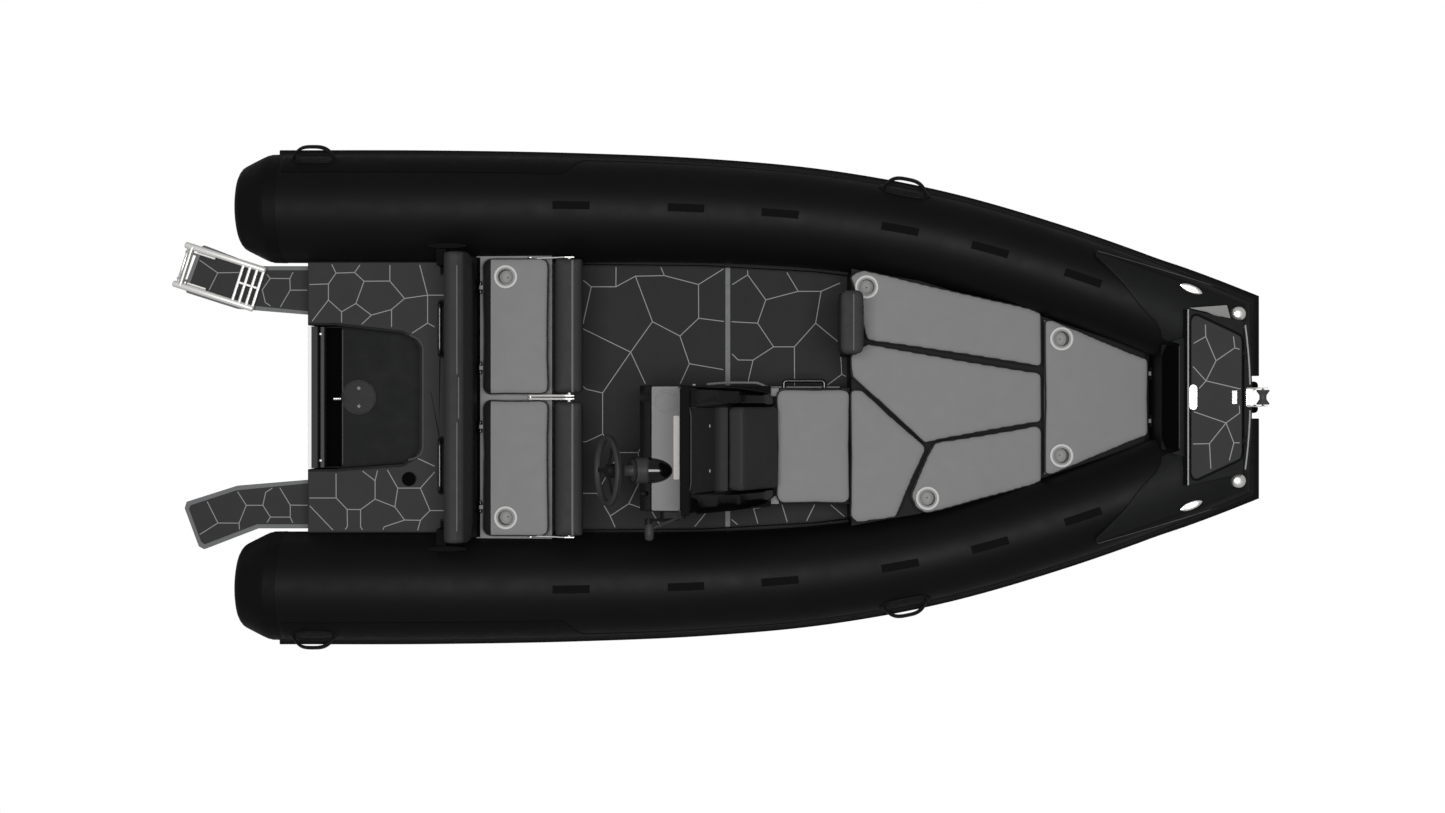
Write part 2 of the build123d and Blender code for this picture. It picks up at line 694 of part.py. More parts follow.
# Flip bolsters: flat arms on the pivots, and the padded roll they carry
roll_x = (-843.0, -704.0)
roll_z = (530.0, 648.0)
roll_y = (22.0, 699.0)
roll_mid_x = sum(roll_x) / 2
roll_mid_z = sum(roll_z) / 2
spindle_r = 8.0
arm_foot = [(-12.0, 10.0), (-12.0, -12.0), (12.0, -14.0)]
arm_head = [(26.0, -20.0), (26.0, 18.0), (-22.0, 18.0)]
arm_outline = [(bolster_pivot_x + x, bolster_pivot_z + z) for x, z in arm_foot]
arm_outline += [(roll_mid_x + x, roll_mid_z + z) for x, z in arm_head]
with BuildPart() as bolster_arms_port:
    for start in (inner_arm_y, outer_arm_y):
        with BuildSketch(Plane.XZ.offset(-start - arm_t)):
            Polygon(*arm_outline, align=None)
        extrude(amount=arm_t)
    with BuildSketch(Plane.XZ.offset(-outer_arm_y)):
        with Locations((roll_mid_x, roll_mid_z)):
            Circle(spindle_r)
    extrude(amount=outer_arm_y - inner_arm_y)
    with BuildSketch(Plane.XZ.offset(-wide)):
        with Locations((bolster_pivot_x, bolster_pivot_z)):
            Circle(pivot_r + pin_fit)
    extrude(amount=2 * wide, mode=Mode.SUBTRACT)
bolster_arms_port.part.label = "bolster_arms_port"
export_step(bolster_arms_port.part, "parts/bolster_arms_port.step")

with BuildPart() as bolster_arms_starboard:
    add(mirror(bolster_arms_port.part, about=Plane.XZ))
bolster_arms_starboard.part.label = "bolster_arms_starboard"
export_step(bolster_arms_starboard.part, "parts/bolster_arms_starboard.step")

roll_soft = 30.0
with BuildPart() as bolster_port:
    with BuildSketch(Plane.XZ.offset(-roll_y[1])):
        with Locations((roll_mid_x, roll_mid_z)):
            RectangleRounded(roll_x[1] - roll_x[0], roll_z[1] - roll_z[0], roll_soft)
    extrude(amount=roll_y[1] - roll_y[0])
    with BuildSketch(Plane.XZ.offset(-wide)):
        with Locations((roll_mid_x, roll_mid_z)):
            Circle(spindle_r)
    extrude(amount=2 * wide, mode=Mode.SUBTRACT)
bolster_port.part.label = "bolster_port"
export_step(bolster_port.part, "parts/bolster_port.step")

with BuildPart() as bolster_starboard:
    add(mirror(bolster_port.part, about=Plane.XZ))
bolster_starboard.part.label = "bolster_starboard"
export_step(bolster_starboard.part, "parts/bolster_starboard.step")

# Horn cleats on brackets that reach over the tubes' inner shoulders
cleat_x = -1392.0
cleat_y = 768.0
cleat_z = 562.0
cleat_l = 196.0
cleat_w = 26.0
cleat_t = 16.0
bracket_t = 8.0
bracket_w = 50.0
bracket_aft_x = cleat_x - 60.0
bracket_foot_y = (640.0, 684.0)
bracket_wall_t = 12.0
bracket_fall = 14.0
bracket_top_z = cleat_z - 4.0
cleat_neck_l = 110.0
cleat_neck_h = 20.0
horn_z = cleat_z + 12.0
horn_tip = 6.0
horn_mid = 40.0
horn_quarter = [
    (cleat_l / 2, horn_tip), (horn_mid, cleat_w / 2), (-horn_mid, cleat_w / 2), (-cleat_l / 2, horn_tip),
]
with BuildPart() as horn_cleats:
    with BuildSketch(Plane.YZ.offset(bracket_aft_x)):
        Polygon(
            (bracket_foot_y[0], deck_z), (bracket_foot_y[1], deck_z),
            (bracket_foot_y[1], bracket_top_z - bracket_fall - bracket_t),
            (cleat_y + cleat_w / 2, bracket_top_z - bracket_t), (cleat_y + cleat_w / 2, bracket_top_z),
            (bracket_foot_y[1] - bracket_wall_t, bracket_top_z - bracket_fall),
            (bracket_foot_y[1] - bracket_wall_t, deck_z + bracket_t),
            (bracket_foot_y[0], deck_z + bracket_t), align=None,
        )
    extrude(amount=bracket_w)
    with BuildSketch(Plane.XY.offset(bracket_top_z - bracket_t)):
        with Locations((cleat_x, cleat_y)):
            Rectangle(cleat_neck_l, cleat_w)
    extrude(amount=bracket_t + cleat_neck_h)
    with BuildSketch(Plane.XY.offset(horn_z)):
        with Locations((cleat_x, cleat_y)):
            Polygon(*(horn_quarter + [(-x, -y) for x, y in horn_quarter]), align=None)
    extrude(amount=cleat_t)
    add(mirror(horn_cleats.part, about=Plane.XZ))
    add(port_seat, mode=Mode.SUBTRACT)
    add(starboard_seat, mode=Mode.SUBTRACT)
horn_cleats.part.label = "horn_cleats"
export_step(horn_cleats.part, "parts/horn_cleats.step")

# Towing eyes: two on the transom and one on the stem
eye_hole_r = 13.0
eye_t = 14.0
stern_eye_y = 392.0
stern_eye_z = 12.0
bow_eye_z = 330.0
eye_rows = [
    {"x": transom_x, "y": stern_eye_y, "z": stern_eye_z, "way": -1},
    {"x": transom_x, "y": -stern_eye_y, "z": stern_eye_z, "way": -1},
    {"x": stem_x, "y": 0.0, "z": bow_eye_z, "way": 1},
]
eye_reach = 58.0
eye_r = 26.0
with BuildPart() as towing_eyes:
    for row in eye_rows:
        with BuildSketch(Plane.XZ.offset(-row["y"] - eye_t / 2)):
            with Locations((row["x"] + row["way"] * (eye_reach - eye_r), row["z"])):
                Circle(eye_r)
            Polygon(
                (row["x"], row["z"] - eye_r), (row["x"] + row["way"] * (eye_reach - eye_r), row["z"] - eye_r),
                (row["x"] + row["way"] * (eye_reach - eye_r), row["z"] + eye_r),
                (row["x"], row["z"] + eye_r), align=None,
            )
            with Locations((row["x"] + row["way"] * (eye_reach - eye_r), row["z"])):
                Circle(eye_hole_r, mode=Mode.SUBTRACT)
        extrude(amount=eye_t)
towing_eyes.part.label = "towing_eyes"
export_step(towing_eyes.part, "parts/towing_eyes.step")

# Grab rails: two hoops on the aft deck and a bowed one on the seat box
grab_r = 11.0
grab_x = -1448.0
grab_y = (220.0, 486.0)
grab_z = 455.0
seat_box_x = (250.0, 655.0)
seat_box_y = (-548.0, 48.0)
seat_box_z = 470.0
bow_rail_x = (318.0, 526.0)
bow_rail_y = 84.0
bow_rail_z = 430.0
grab_bend = 30.0
with BuildPart() as grab_rails:
    for side in (-1, 1):
        with BuildLine() as hoop:
            FilletPolyline(
                (grab_x, side * grab_y[0], deck_z), (grab_x, side * grab_y[0], grab_z),
                (grab_x, side * grab_y[1], grab_z), (grab_x, side * grab_y[1], deck_z),
                radius=grab_bend,
            )
        with BuildSketch(Plane(origin=hoop.line @ 0, z_dir=hoop.line % 0)):
            Circle(grab_r)
        sweep(path=hoop.line)
    with BuildLine() as bowed:
        FilletPolyline(
            (bow_rail_x[0], seat_box_y[1], bow_rail_z), (bow_rail_x[0], bow_rail_y, bow_rail_z),
            (bow_rail_x[1], bow_rail_y, bow_rail_z), (bow_rail_x[1], seat_box_y[1], bow_rail_z),
            radius=grab_bend / 2,
        )
    with BuildSketch(Plane(origin=bowed.line @ 0, z_dir=bowed.line % 0)):
        Circle(grab_r)
    sweep(path=bowed.line)
grab_rails.part.label = "grab_rails"
export_step(grab_rails.part, "parts/grab_rails.step")

# Console: side profile over its width, starboard of the centre line
console_y = (-558.0, 58.0)
console_foot_x = -395.0
dash_low_at = (-346.0, 962.0)
dash_high_at = (-205.0, 986.0)
rake_top_at = (18.0, 930.0)
rake_low_at = (seat_box_x[0], 500.0)
console_profile = [
    (console_foot_x, sole_z + pad_h), (-405.0, 862.0), dash_low_at, dash_high_at, rake_top_at,
    rake_low_at, (seat_box_x[0], sole_z + pad_h),
]
with BuildPart() as console:
    with BuildSketch(Plane.XZ.offset(-console_y[1])):
        Polygon(*console_profile, align=None)
    extrude(amount=console_y[1] - console_y[0])
    with BuildSketch(Plane.XY.offset(sole_z + pad_h)):
        with Locations((sum(seat_box_x) / 2, sum(seat_box_y) / 2)):
            Rectangle(seat_box_x[1] - seat_box_x[0], seat_box_y[1] - seat_box_y[0])
    extrude(amount=seat_box_z - sole_z - pad_h)
console.part.label = "console"
export_step(console.part, "parts/console.step")

# Switch panel let onto the dash, raked with it
dash_low = Vector(dash_low_at[0], 0, dash_low_at[1])
dash_high = Vector(dash_high_at[0], 0, dash_high_at[1])
dash_run = (dash_high - dash_low).normalized()
dash_up = Vector(-dash_run.Z, 0, dash_run.X)
panel_t = 4.0
panel_up = 112.0
panel_y = -246.0
panel_w = 46.0
panel_l = 302.0
panel_round = 8.0
dash_plane = Plane(origin=dash_low, x_dir=dash_run, z_dir=dash_up)
with BuildPart() as switch_panel:
    with BuildSketch(dash_plane):
        with Locations((panel_up, panel_y)):
            RectangleRounded(panel_w, panel_l, panel_round)
    extrude(amount=panel_t)
switch_panel.part.label = "switch_panel"
export_step(switch_panel.part, "parts/switch_panel.step")

# Windscreen: a raked pane with short side panes, on the console's top
screen_t = 6.0
screen_foot_x = -24.0
screen_top_x = -176.0
screen_foot_z = 900.0
screen_top_z = 1300.0
screen_in = 10.0
side_pane_aft = [(-190.0, screen_foot_z), (-214.0, 1120.0)]
top_rail_h = 26.0
top_rail_w = 41.6
with BuildPart() as windscreen:
    with BuildSketch(Plane.XZ.offset(-console_y[1] + screen_in)):
        Polygon(
            (screen_foot_x, screen_foot_z), (screen_foot_x + screen_t, screen_foot_z),
            (screen_top_x + screen_t, screen_top_z), (screen_top_x, screen_top_z), align=None,
        )
    extrude(amount=console_y[1] - console_y[0] - 2 * screen_in)
    for start in (console_y[1] - screen_in, console_y[0] + screen_in + screen_t):
        with BuildSketch(Plane.XZ.offset(-start)):
            Polygon(
                (screen_foot_x, screen_foot_z), *side_pane_aft, (screen_top_x, screen_top_z), align=None,
            )
        extrude(amount=screen_t)
    add(console.part, mode=Mode.SUBTRACT)
windscreen.part.label = "windscreen"
export_step(windscreen.part, "parts/windscreen.step")

with BuildPart() as windscreen_rail:
    with BuildSketch(Plane.XZ.offset(-console_y[1])):
        with Locations((screen_top_x + screen_t / 2, screen_top_z)):
            Rectangle(top_rail_w, top_rail_h)
    extrude(amount=console_y[1] - console_y[0])
    add(windscreen.part, mode=Mode.SUBTRACT)
windscreen_rail.part.label = "windscreen_rail"
export_step(windscreen_rail.part, "parts/windscreen_rail.step")

# Helm: a cylinder on the raked aft face with the steering shaft
wheel_y = -358.0
wheel_tilt = 22.0
helm_foot_at = (-374.0, 914.0)
helm_root = 60.0
helm_foot = Vector(helm_foot_at[0], wheel_y, helm_foot_at[1])
helm_out = Vector(-math.cos(math.radians(wheel_tilt)), 0, math.sin(math.radians(wheel_tilt)))
helm_plane = Plane(origin=helm_foot, x_dir=(0, 1, 0), z_dir=helm_out)
helm_r = 62.0
helm_l = 70.0
neck_r = 26.0
neck_l = 50.0
wheel_off = 196.0
shaft_r = 10.0
hub_r = 34.0
hub_l = 44.0
shaft_past = 4.0
bore_past = 1.0
with BuildPart() as helm:
    with BuildSketch(helm_plane.offset(-helm_root)):
        Circle(helm_r)
    extrude(amount=helm_l + helm_root)
    with BuildSketch(helm_plane.offset(helm_l)):
        Circle(neck_r)
    extrude(amount=neck_l)
    with BuildSketch(helm_plane.offset(helm_l)):
        Circle(shaft_r)
    extrude(amount=wheel_off - helm_l + shaft_past)
    add(console.part, mode=Mode.SUBTRACT)
helm.part.label = "helm"
export_step(helm.part, "parts/helm.step")

# Steering wheel: rim, hub and three spokes, turning on the shaft
wheel_r = 163.0
rim_r = 13.0
spoke_w = 22.0
spoke_t = 7.0
wheel_plane = helm_plane.offset(wheel_off)
hub_plane = helm_plane.offset(wheel_off - hub_l)
with BuildPart() as steering_wheel:
    with BuildSketch(Plane(origin=wheel_plane.origin, x_dir=wheel_plane.x_dir, z_dir=wheel_plane.y_dir)):
        with Locations((wheel_r, 0)):
            Circle(rim_r)
    revolve(axis=Axis(wheel_plane.origin, wheel_plane.z_dir))
    with BuildSketch(hub_plane):
        Circle(hub_r)
    extrude(amount=hub_l + spoke_t)
    with BuildSketch(wheel_plane.offset(-spoke_t / 2)):
        with PolarLocations(wheel_r / 2, 3, start_angle=90):
            Rectangle(wheel_r, spoke_w)
    extrude(amount=spoke_t)
    with BuildSketch(hub_plane.offset(-bore_past)):
        Circle(shaft_r + pin_fit)
    extrude(amount=hub_l + shaft_past + 2 * bore_past, mode=Mode.SUBTRACT)
steering_wheel.part.label = "steering_wheel"
export_step(steering_wheel.part, "parts/steering_wheel.step")

# Throttle: side-mounted box, arm and knob on the console's starboard side
throttle_at = (-240.0, 890.0)
throttle_l = 124.0
throttle_h = 96.0
throttle_round = 20.0
throttle_t = 34.0
lever_outline = [(-226.0, 880.0), (-210.0, 892.0), (-352.0, 990.0), (-366.0, 980.0)]
lever_t = 14.0
knob_at = (-358.0, 984.0)
knob_r = 18.0
knob_l = 72.0
with BuildPart() as throttle:
    with BuildSketch(Plane.XZ.offset(-console_y[0])):
        with Locations(throttle_at):
            RectangleRounded(throttle_l, throttle_h, throttle_round)
    extrude(amount=throttle_t)
    with BuildSketch(Plane.XZ.offset(-console_y[0] + throttle_t)):
        Polygon(*lever_outline, align=None)
    extrude(amount=lever_t)
    with BuildSketch(Plane.XZ.offset(-console_y[0] + throttle_t)):
        with Locations(knob_at):
            Circle(knob_r)
    extrude(amount=knob_l)
throttle.part.label = "throttle"
export_step(throttle.part, "parts/throttle.step")

# Console backrest on the raked front, and the seat cushion ahead of it
rake_top = Vector(rake_top_at[0], 0, rake_top_at[1])
rake_low = Vector(rake_low_at[0], 0, rake_low_at[1])
rake_run = (rake_low - rake_top).normalized()
rake_out = Vector(-rake_run.Z, 0, rake_run.X)
rake_plane = Plane(origin=rake_top, x_dir=rake_run, z_dir=rake_out)
rest_t = 84.0
rest_s = (16.0, 420.0)
rest_y = (-462.0, -44.0)
with BuildPart() as console_backrest:
    with BuildSketch(rake_plane):
        with Locations((sum(rest_s) / 2, sum(rest_y) / 2)):
            RectangleRounded(rest_s[1] - rest_s[0], rest_y[1] - rest_y[0], corner_r)
    extrude(amount=rest_t)
    fillet(console_backrest.faces().sort_by(Axis.X)[-1].edges(), edge_soft)
console_backrest.part.label = "console_backrest"
export_step(console_backrest.part, "parts/console_backrest.step")

seat_cushion_x = (284.0, 645.0)
seat_cushion_y = (-535.0, 38.0)
seat_cushion_t = 76.0
with BuildPart() as console_seat:
    with BuildSketch(Plane.XY.offset(seat_box_z)):
        with Locations((sum(seat_cushion_x) / 2, sum(seat_cushion_y) / 2)):
            RectangleRounded(
                seat_cushion_x[1] - seat_cushion_x[0], seat_cushion_y[1] - seat_cushion_y[0], corner_r,
            )
    extrude(amount=seat_cushion_t)
    fillet(console_seat.faces().sort_by(Axis.Z)[-1].edges(), edge_soft)
    add(console_backrest.part, mode=Mode.SUBTRACT)
console_seat.part.label = "console_seat"
export_step(console_seat.part, "parts/console_seat.step")

# Bow seat base on the hull's sloping foredeck, with a locker under the forward lid
bow_lid_outline = [(1642.0, 392.0), (1682.0, 386.0), (2166.0, 188.0)]
bow_locker_outline = [(1670.0, 350.0), (1700.0, 356.0), (2120.0, 180.0)]
bow_locker_z = 430.0
bulkhead_top = 790.0
bulkhead_t = 26.0
bulkhead_half = 262.0
bulkhead_foot_up = 20.0
bow_hinge_x = 2169.0
bow_hinge_z = 578.0
bow_hinges_y = (120.0, -120.0)
bow_panel_t = 36.0
bow_panel_w = 318.0
bow_panel_y = 372.0
bow_panel_top = 600.0
with BuildPart() as bow_seat_base:
    with BuildSketch(Plane.XZ.offset(-wide)):
        low_end = bow_deck_z(bow_base_end_x)
        Polygon(
            (bow_base_x, bow_deck_low_z), (bow_base_end_x, low_end), (bow_base_end_x, bow_seat_z),
            (bow_base_x, bow_seat_z), align=None,
        )
    extrude(amount=2 * wide)
    with BuildSketch(Plane.XY.offset(bow_locker_z)):
        Polygon(*(bow_locker_outline + list(reversed(mirrored(bow_locker_outline)))), align=None)
    extrude(amount=tall, mode=Mode.SUBTRACT)
    with BuildSketch(Plane.XY.offset(low_end + bulkhead_foot_up)):
        with Locations((bow_base_end_x + bulkhead_t / 2, 0)):
            Rectangle(bulkhead_t, 2 * bulkhead_half)
    extrude(amount=bulkhead_top - low_end - bulkhead_foot_up)
    with BuildSketch(Plane.XY.offset(sole_z + pad_h)):
        with Locations((bow_base_x - bow_panel_t / 2, bow_panel_y)):
            Rectangle(bow_panel_t, bow_panel_w)
    extrude(amount=bow_panel_top - sole_z - pad_h)
    add(port_seat, mode=Mode.SUBTRACT)
    add(starboard_seat, mode=Mode.SUBTRACT)
    add(bow_seat, mode=Mode.SUBTRACT)
bow_base_middle = sorted(bow_seat_base.part.solids(), key=lambda piece: -piece.volume)[0]
with BuildPart() as bow_seat_base_kept:
    add(bow_base_middle)
bow_seat_base_kept.part.label = "bow_seat_base"
export_step(bow_seat_base_kept.part, "parts/bow_seat_base.step")

# Bow cushions: four fixed pads round the forward lid, outlines on their top plane
bow_pad_t = 74.0
bow_pads = [
    [
        (655.0, 612.0), (684.0, 634.0), (724.0, 640.0), (1614.0, 437.0), (1619.0, 160.0), (737.0, 292.0),
    ],
    [
        (737.0, 268.0), (1615.0, 118.0), (1619.0, -119.0), (1091.0, -216.0), (1028.0, -230.0),
        (660.0, 108.0), (656.0, 214.0),
    ],
    [
        (656.0, 36.0), (704.0, 36.0), (1024.0, -247.0), (1028.0, -268.0), (878.0, -608.0),
        (684.0, -632.0), (656.0, -608.0),
    ],
    [
        (1082.0, -231.0), (1595.0, -148.0), (1619.0, -163.0), (1619.0, -436.0), (1033.0, -588.0),
        (985.0, -560.0), (960.0, -502.0), (1038.0, -308.0),
    ],
]
bow_cups = [
    {"x": 733.0, "y": 559.0},
    {"x": 1041.0, "y": -512.0},
]
with BuildPart() as bow_cushions:
    for outline in bow_pads:
        with BuildSketch(Plane.XY.offset(bow_seat_z)):
            Polygon(*outline, align=None)
        extrude(amount=bow_pad_t)
    for row in bow_cups:
        with BuildSketch(Plane.XY.offset(bow_seat_z)):
            with Locations((row["x"], row["y"])):
                Circle(cup_r + fit)
        extrude(amount=tall, mode=Mode.SUBTRACT)
    with BuildSketch(Plane.XY.offset(bow_seat_z)):
        with Locations((bow_base_x - bow_panel_t / 2, bow_panel_y)):
            Rectangle(bow_panel_t + 2 * fit, bow_panel_w + 2 * fit)
    extrude(amount=tall, mode=Mode.SUBTRACT)
    add(port_seat, mode=Mode.SUBTRACT)
    add(starboard_seat, mode=Mode.SUBTRACT)
bow_cushions.part.label = "bow_cushions"
export_step(bow_cushions.part, "parts/bow_cushions.step")

# Cup tubs let into the fixed pads, standing on the seat base
bow_tubs = [cup_tub(row["x"], row["y"], bow_seat_z + bow_pad_t, bow_pad_t) for row in bow_cups]
with BuildPart() as cup_holders:
    for tub, bore in bow_tubs:
        add(tub)
        add(bore, mode=Mode.SUBTRACT)
cup_holders.part.label = "cup_holders"
export_step(cup_holders.part, "parts/cup_holders.step")

# Forward locker lid and its cushion, hinged on the bulkhead
bow_lid_cups = [
    {"x": 1720.0, "y": 296.0},
    {"x": 1720.0, "y": -296.0},
]
bow_lid_top = bow_seat_z + bow_pad_t
bow_leaf_x = (2160.0, 2166.0)
bow_leaf_neck_x = (2162.0, 2163.0)
bow_leaf_up = 3.0
bow_leaf_nose = 1.0
bow_lid_tubs = [cup_tub(row["x"], row["y"], bow_lid_top, cup_deep) for row in bow_lid_cups]
with BuildPart() as bow_locker_lid:
    with BuildSketch(Plane.XY.offset(bow_seat_z)):
        Polygon(*(bow_lid_outline + list(reversed(mirrored(bow_lid_outline)))), align=None)
    extrude(amount=board_t)
    for hinge_y in bow_hinges_y:
        with BuildSketch(Plane.XZ.offset(-hinge_y - knuckle_half)):
            with Locations((bow_hinge_x, bow_hinge_z)):
                Circle(knuckle_r)
            Polygon(
                (bow_leaf_x[0], bow_seat_z), (bow_leaf_x[1], bow_seat_z),
                (bow_leaf_x[1], bow_hinge_z - knuckle_r / 2), (bow_hinge_x + bow_leaf_nose, bow_hinge_z),
                (bow_leaf_neck_x[1], bow_hinge_z + bow_leaf_up), (bow_leaf_neck_x[0], bow_seat_z + board_t),
                (bow_leaf_x[0], bow_seat_z + board_t), align=None,
            )
        extrude(amount=2 * knuckle_half)
        with BuildSketch(Plane.XZ.offset(-hinge_y - knuckle_half)):
            with Locations((bow_hinge_x, bow_hinge_z)):
                Circle(hinge_pin_r + pin_fit)
        extrude(amount=2 * knuckle_half, mode=Mode.SUBTRACT)
    for tub, bore in bow_lid_tubs:
        add(tub)
        add(bore, mode=Mode.SUBTRACT)
bow_locker_lid.part.label = "bow_locker_lid"
export_step(bow_locker_lid.part, "parts/bow_locker_lid.step")

locker_cushion_outline = bow_lid_outline[:2] + [(2158.0, 190.0)]
with BuildPart() as bow_locker_cushion:
    with BuildSketch(Plane.XY.offset(bow_seat_z + board_t)):
        Polygon(*(locker_cushion_outline + list(reversed(mirrored(locker_cushion_outline)))), align=None)
    extrude(amount=bow_pad_t - board_t)
    for row in bow_lid_cups:
        with BuildSketch(Plane.XY.offset(bow_seat_z)):
            with Locations((row["x"], row["y"])):
                Circle(cup_r + fit)
        extrude(amount=tall, mode=Mode.SUBTRACT)
bow_locker_cushion.part.label = "bow_locker_cushion"
export_step(bow_locker_cushion.part, "parts/bow_locker_cushion.step")

# Knuckles of the forward lid on the bulkhead
bow_hinge_foot = 8.0
with BuildPart() as bow_hinges:
    for hinge_y in bow_hinges_y:
        for start in (-knuckle_half - knuckle_gap - knuckle_l, knuckle_half + knuckle_gap):
            with BuildSketch(Plane.XZ.offset(-(hinge_y + start + knuckle_l))):
                with Locations((bow_hinge_x, bow_hinge_z)):
                    Circle(knuckle_r)
                with Locations((bow_base_end_x - bow_hinge_foot / 2, bow_hinge_z)):
                    Rectangle(bow_hinge_foot, 2 * knuckle_r)
            extrude(amount=knuckle_l)
        with BuildSketch(Plane.XZ.offset(-(hinge_y + knuckle_half + knuckle_gap + knuckle_l))):
            with Locations((bow_hinge_x, bow_hinge_z)):
                Circle(hinge_pin_r)
        extrude(amount=2 * (knuckle_half + knuckle_gap + knuckle_l))
bow_hinges.part.label = "bow_hinges"
export_step(bow_hinges.part, "parts/bow_hinges.step")

# Small backrest on the panel at the port side of the bow seats
bow_rest_x = 642.0
bow_rest_t = 116.0
bow_rest_h = 250.0
with BuildPart() as bow_backrest:
    with BuildSketch(Plane.XY.offset(bow_panel_top)):
        with Locations((bow_rest_x, bow_panel_y)):
            RectangleRounded(bow_rest_t, bow_panel_w, corner_r)
    extrude(amount=bow_rest_h)
    fillet(bow_backrest.faces().sort_by(Axis.Z)[-1].edges(), edge_soft)
bow_backrest.part.label = "bow_backrest"
export_step(bow_backrest.part, "parts/bow_backrest.step")

# Foredeck moulding: a shell over the snub bow's tubes and a flat between them
foredeck_outer = [(1863.0, 728.0), (2557.0, 464.0), (2582.0, 440.0), (2592.0, 400.0)]
foredeck_inner = [
    (2250.0, 262.0), (2210.0, 275.0), (2181.0, 294.0), (2170.0, 332.0), (2148.0, 369.0),
    (2070.0, 451.0), (1990.0, 564.0), (1863.0, 704.0),
]
foredeck_outline = foredeck_outer + list(reversed(mirrored(foredeck_outer)))
foredeck_outline += list(reversed(mirrored(foredeck_inner))) + foredeck_inner
foredeck_flat = [(2207.0, 275.0), (2300.0, 300.0), (2500.0, 300.0)]
foredeck_skirt_z = 560.0
shell_t = 16.0
foredeck_z = 878.0
foredeck_low = 820.0
port_shell = side_tube(shell_t)
starboard_shell = mirror(port_shell, about=Plane.XZ)
bow_shell = snub_tube(shell_t)
with BuildPart() as foredeck:
    add(port_shell)
    add(starboard_shell)
    add(bow_shell)
    with BuildSketch(Plane.XY.offset(foredeck_low)):
        Polygon(*(foredeck_flat + list(reversed(mirrored(foredeck_flat)))), align=None)
    extrude(amount=foredeck_z - foredeck_low)
    with BuildSketch(Plane.XY.offset(foredeck_skirt_z)):
        Polygon(*foredeck_outline, align=None)
    extrude(amount=tall, mode=Mode.INTERSECT)
    add(port_seat, mode=Mode.SUBTRACT)
    add(starboard_seat, mode=Mode.SUBTRACT)
    add(bow_seat, mode=Mode.SUBTRACT)
foredeck_top = sorted(foredeck.part.solids(), key=lambda piece: -piece.volume)[0]
with BuildPart() as foredeck_kept:
    add(foredeck_top)
foredeck_kept.part.label = "foredeck"
export_step(foredeck_kept.part, "parts/foredeck.step")

# Anchor locker: a raised tray on the foredeck, open at the top under its lid
tray_top = 945.0
tray_floor = 892.0
tray_outline = [(2274.0, 431.0), (2552.0, 371.0), (2572.0, 354.0), (2582.0, 200.0), (2587.0, 60.0)]
tray_pocket = [(2292.0, 404.0), (2534.0, 352.0)]
strip_w = 38.0
strip_x = tray_outline[-1][0] - strip_w
lid_gap = 6.0
lid_outline = [(2278.0, 427.0), (strip_x - lid_gap, 370.0)]
lid_t = 12.0
anchor_pad_outline = [
    (2290.0, 372.0), (2300.0, 392.0), (2316.0, 396.0), (2500.0, 310.0), (2528.0, 296.0), (2534.0, 270.0),
]
anchor_pad_t = 6.0
anchor_pin_in = 2.0
anchor_hinge_x = strip_x + anchor_pin_in
anchor_hinge_z = tray_top + lid_t + anchor_pad_t
anchor_knuckle_r = 6.0
anchor_hinges_y = (215.0, -215.0)
anchor_foot_l = 12.0
anchor_foot_up = 3.0
with BuildPart() as anchor_locker:
    with BuildSketch(Plane.XY.offset(foredeck_low + shell_t)):
        Polygon(*(tray_outline + list(reversed(mirrored(tray_outline)))), align=None)
    extrude(amount=tray_top - foredeck_low - shell_t)
    with BuildSketch(Plane.XY.offset(tray_top)):
        front = [row for row in tray_outline if row[0] > strip_x]
        Polygon(
            *([(strip_x, front[0][1])] + front + list(reversed(mirrored(front))) + [(strip_x, -front[0][1])]),
            align=None,
        )
    extrude(amount=lid_t)
    with BuildSketch(Plane.XY.offset(tray_floor)):
        Polygon(*(tray_pocket + list(reversed(mirrored(tray_pocket)))), align=None)
    extrude(amount=tall, mode=Mode.SUBTRACT)
    for hinge_y in anchor_hinges_y:
        for start in (-knuckle_half - knuckle_gap - knuckle_l, knuckle_half + knuckle_gap):
            with BuildSketch(Plane.XZ.offset(-(hinge_y + start + knuckle_l))):
                with Locations((anchor_hinge_x, anchor_hinge_z)):
                    Circle(anchor_knuckle_r)
                Polygon(
                    (strip_x, tray_top + lid_t), (strip_x + anchor_foot_l, tray_top + lid_t),
                    (strip_x + anchor_foot_l / 2, anchor_hinge_z + anchor_foot_up),
                    (anchor_hinge_x, anchor_hinge_z), align=None,
                )
            extrude(amount=knuckle_l)
        with BuildSketch(Plane.XZ.offset(-(hinge_y + knuckle_half + knuckle_gap + knuckle_l))):
            with Locations((anchor_hinge_x, anchor_hinge_z)):
                Circle(hinge_pin_r)
        extrude(amount=2 * (knuckle_half + knuckle_gap + knuckle_l))
    add(foredeck_kept.part, mode=Mode.SUBTRACT)
    add(port_seat, mode=Mode.SUBTRACT)
    add(starboard_seat, mode=Mode.SUBTRACT)
    add(bow_seat, mode=Mode.SUBTRACT)
tray_main = sorted(anchor_locker.part.solids(), key=lambda piece: -piece.volume)[0]
with BuildPart() as anchor_locker_kept:
    add(tray_main)
anchor_locker_kept.part.label = "anchor_locker"
export_step(anchor_locker_kept.part, "parts/anchor_locker.step")

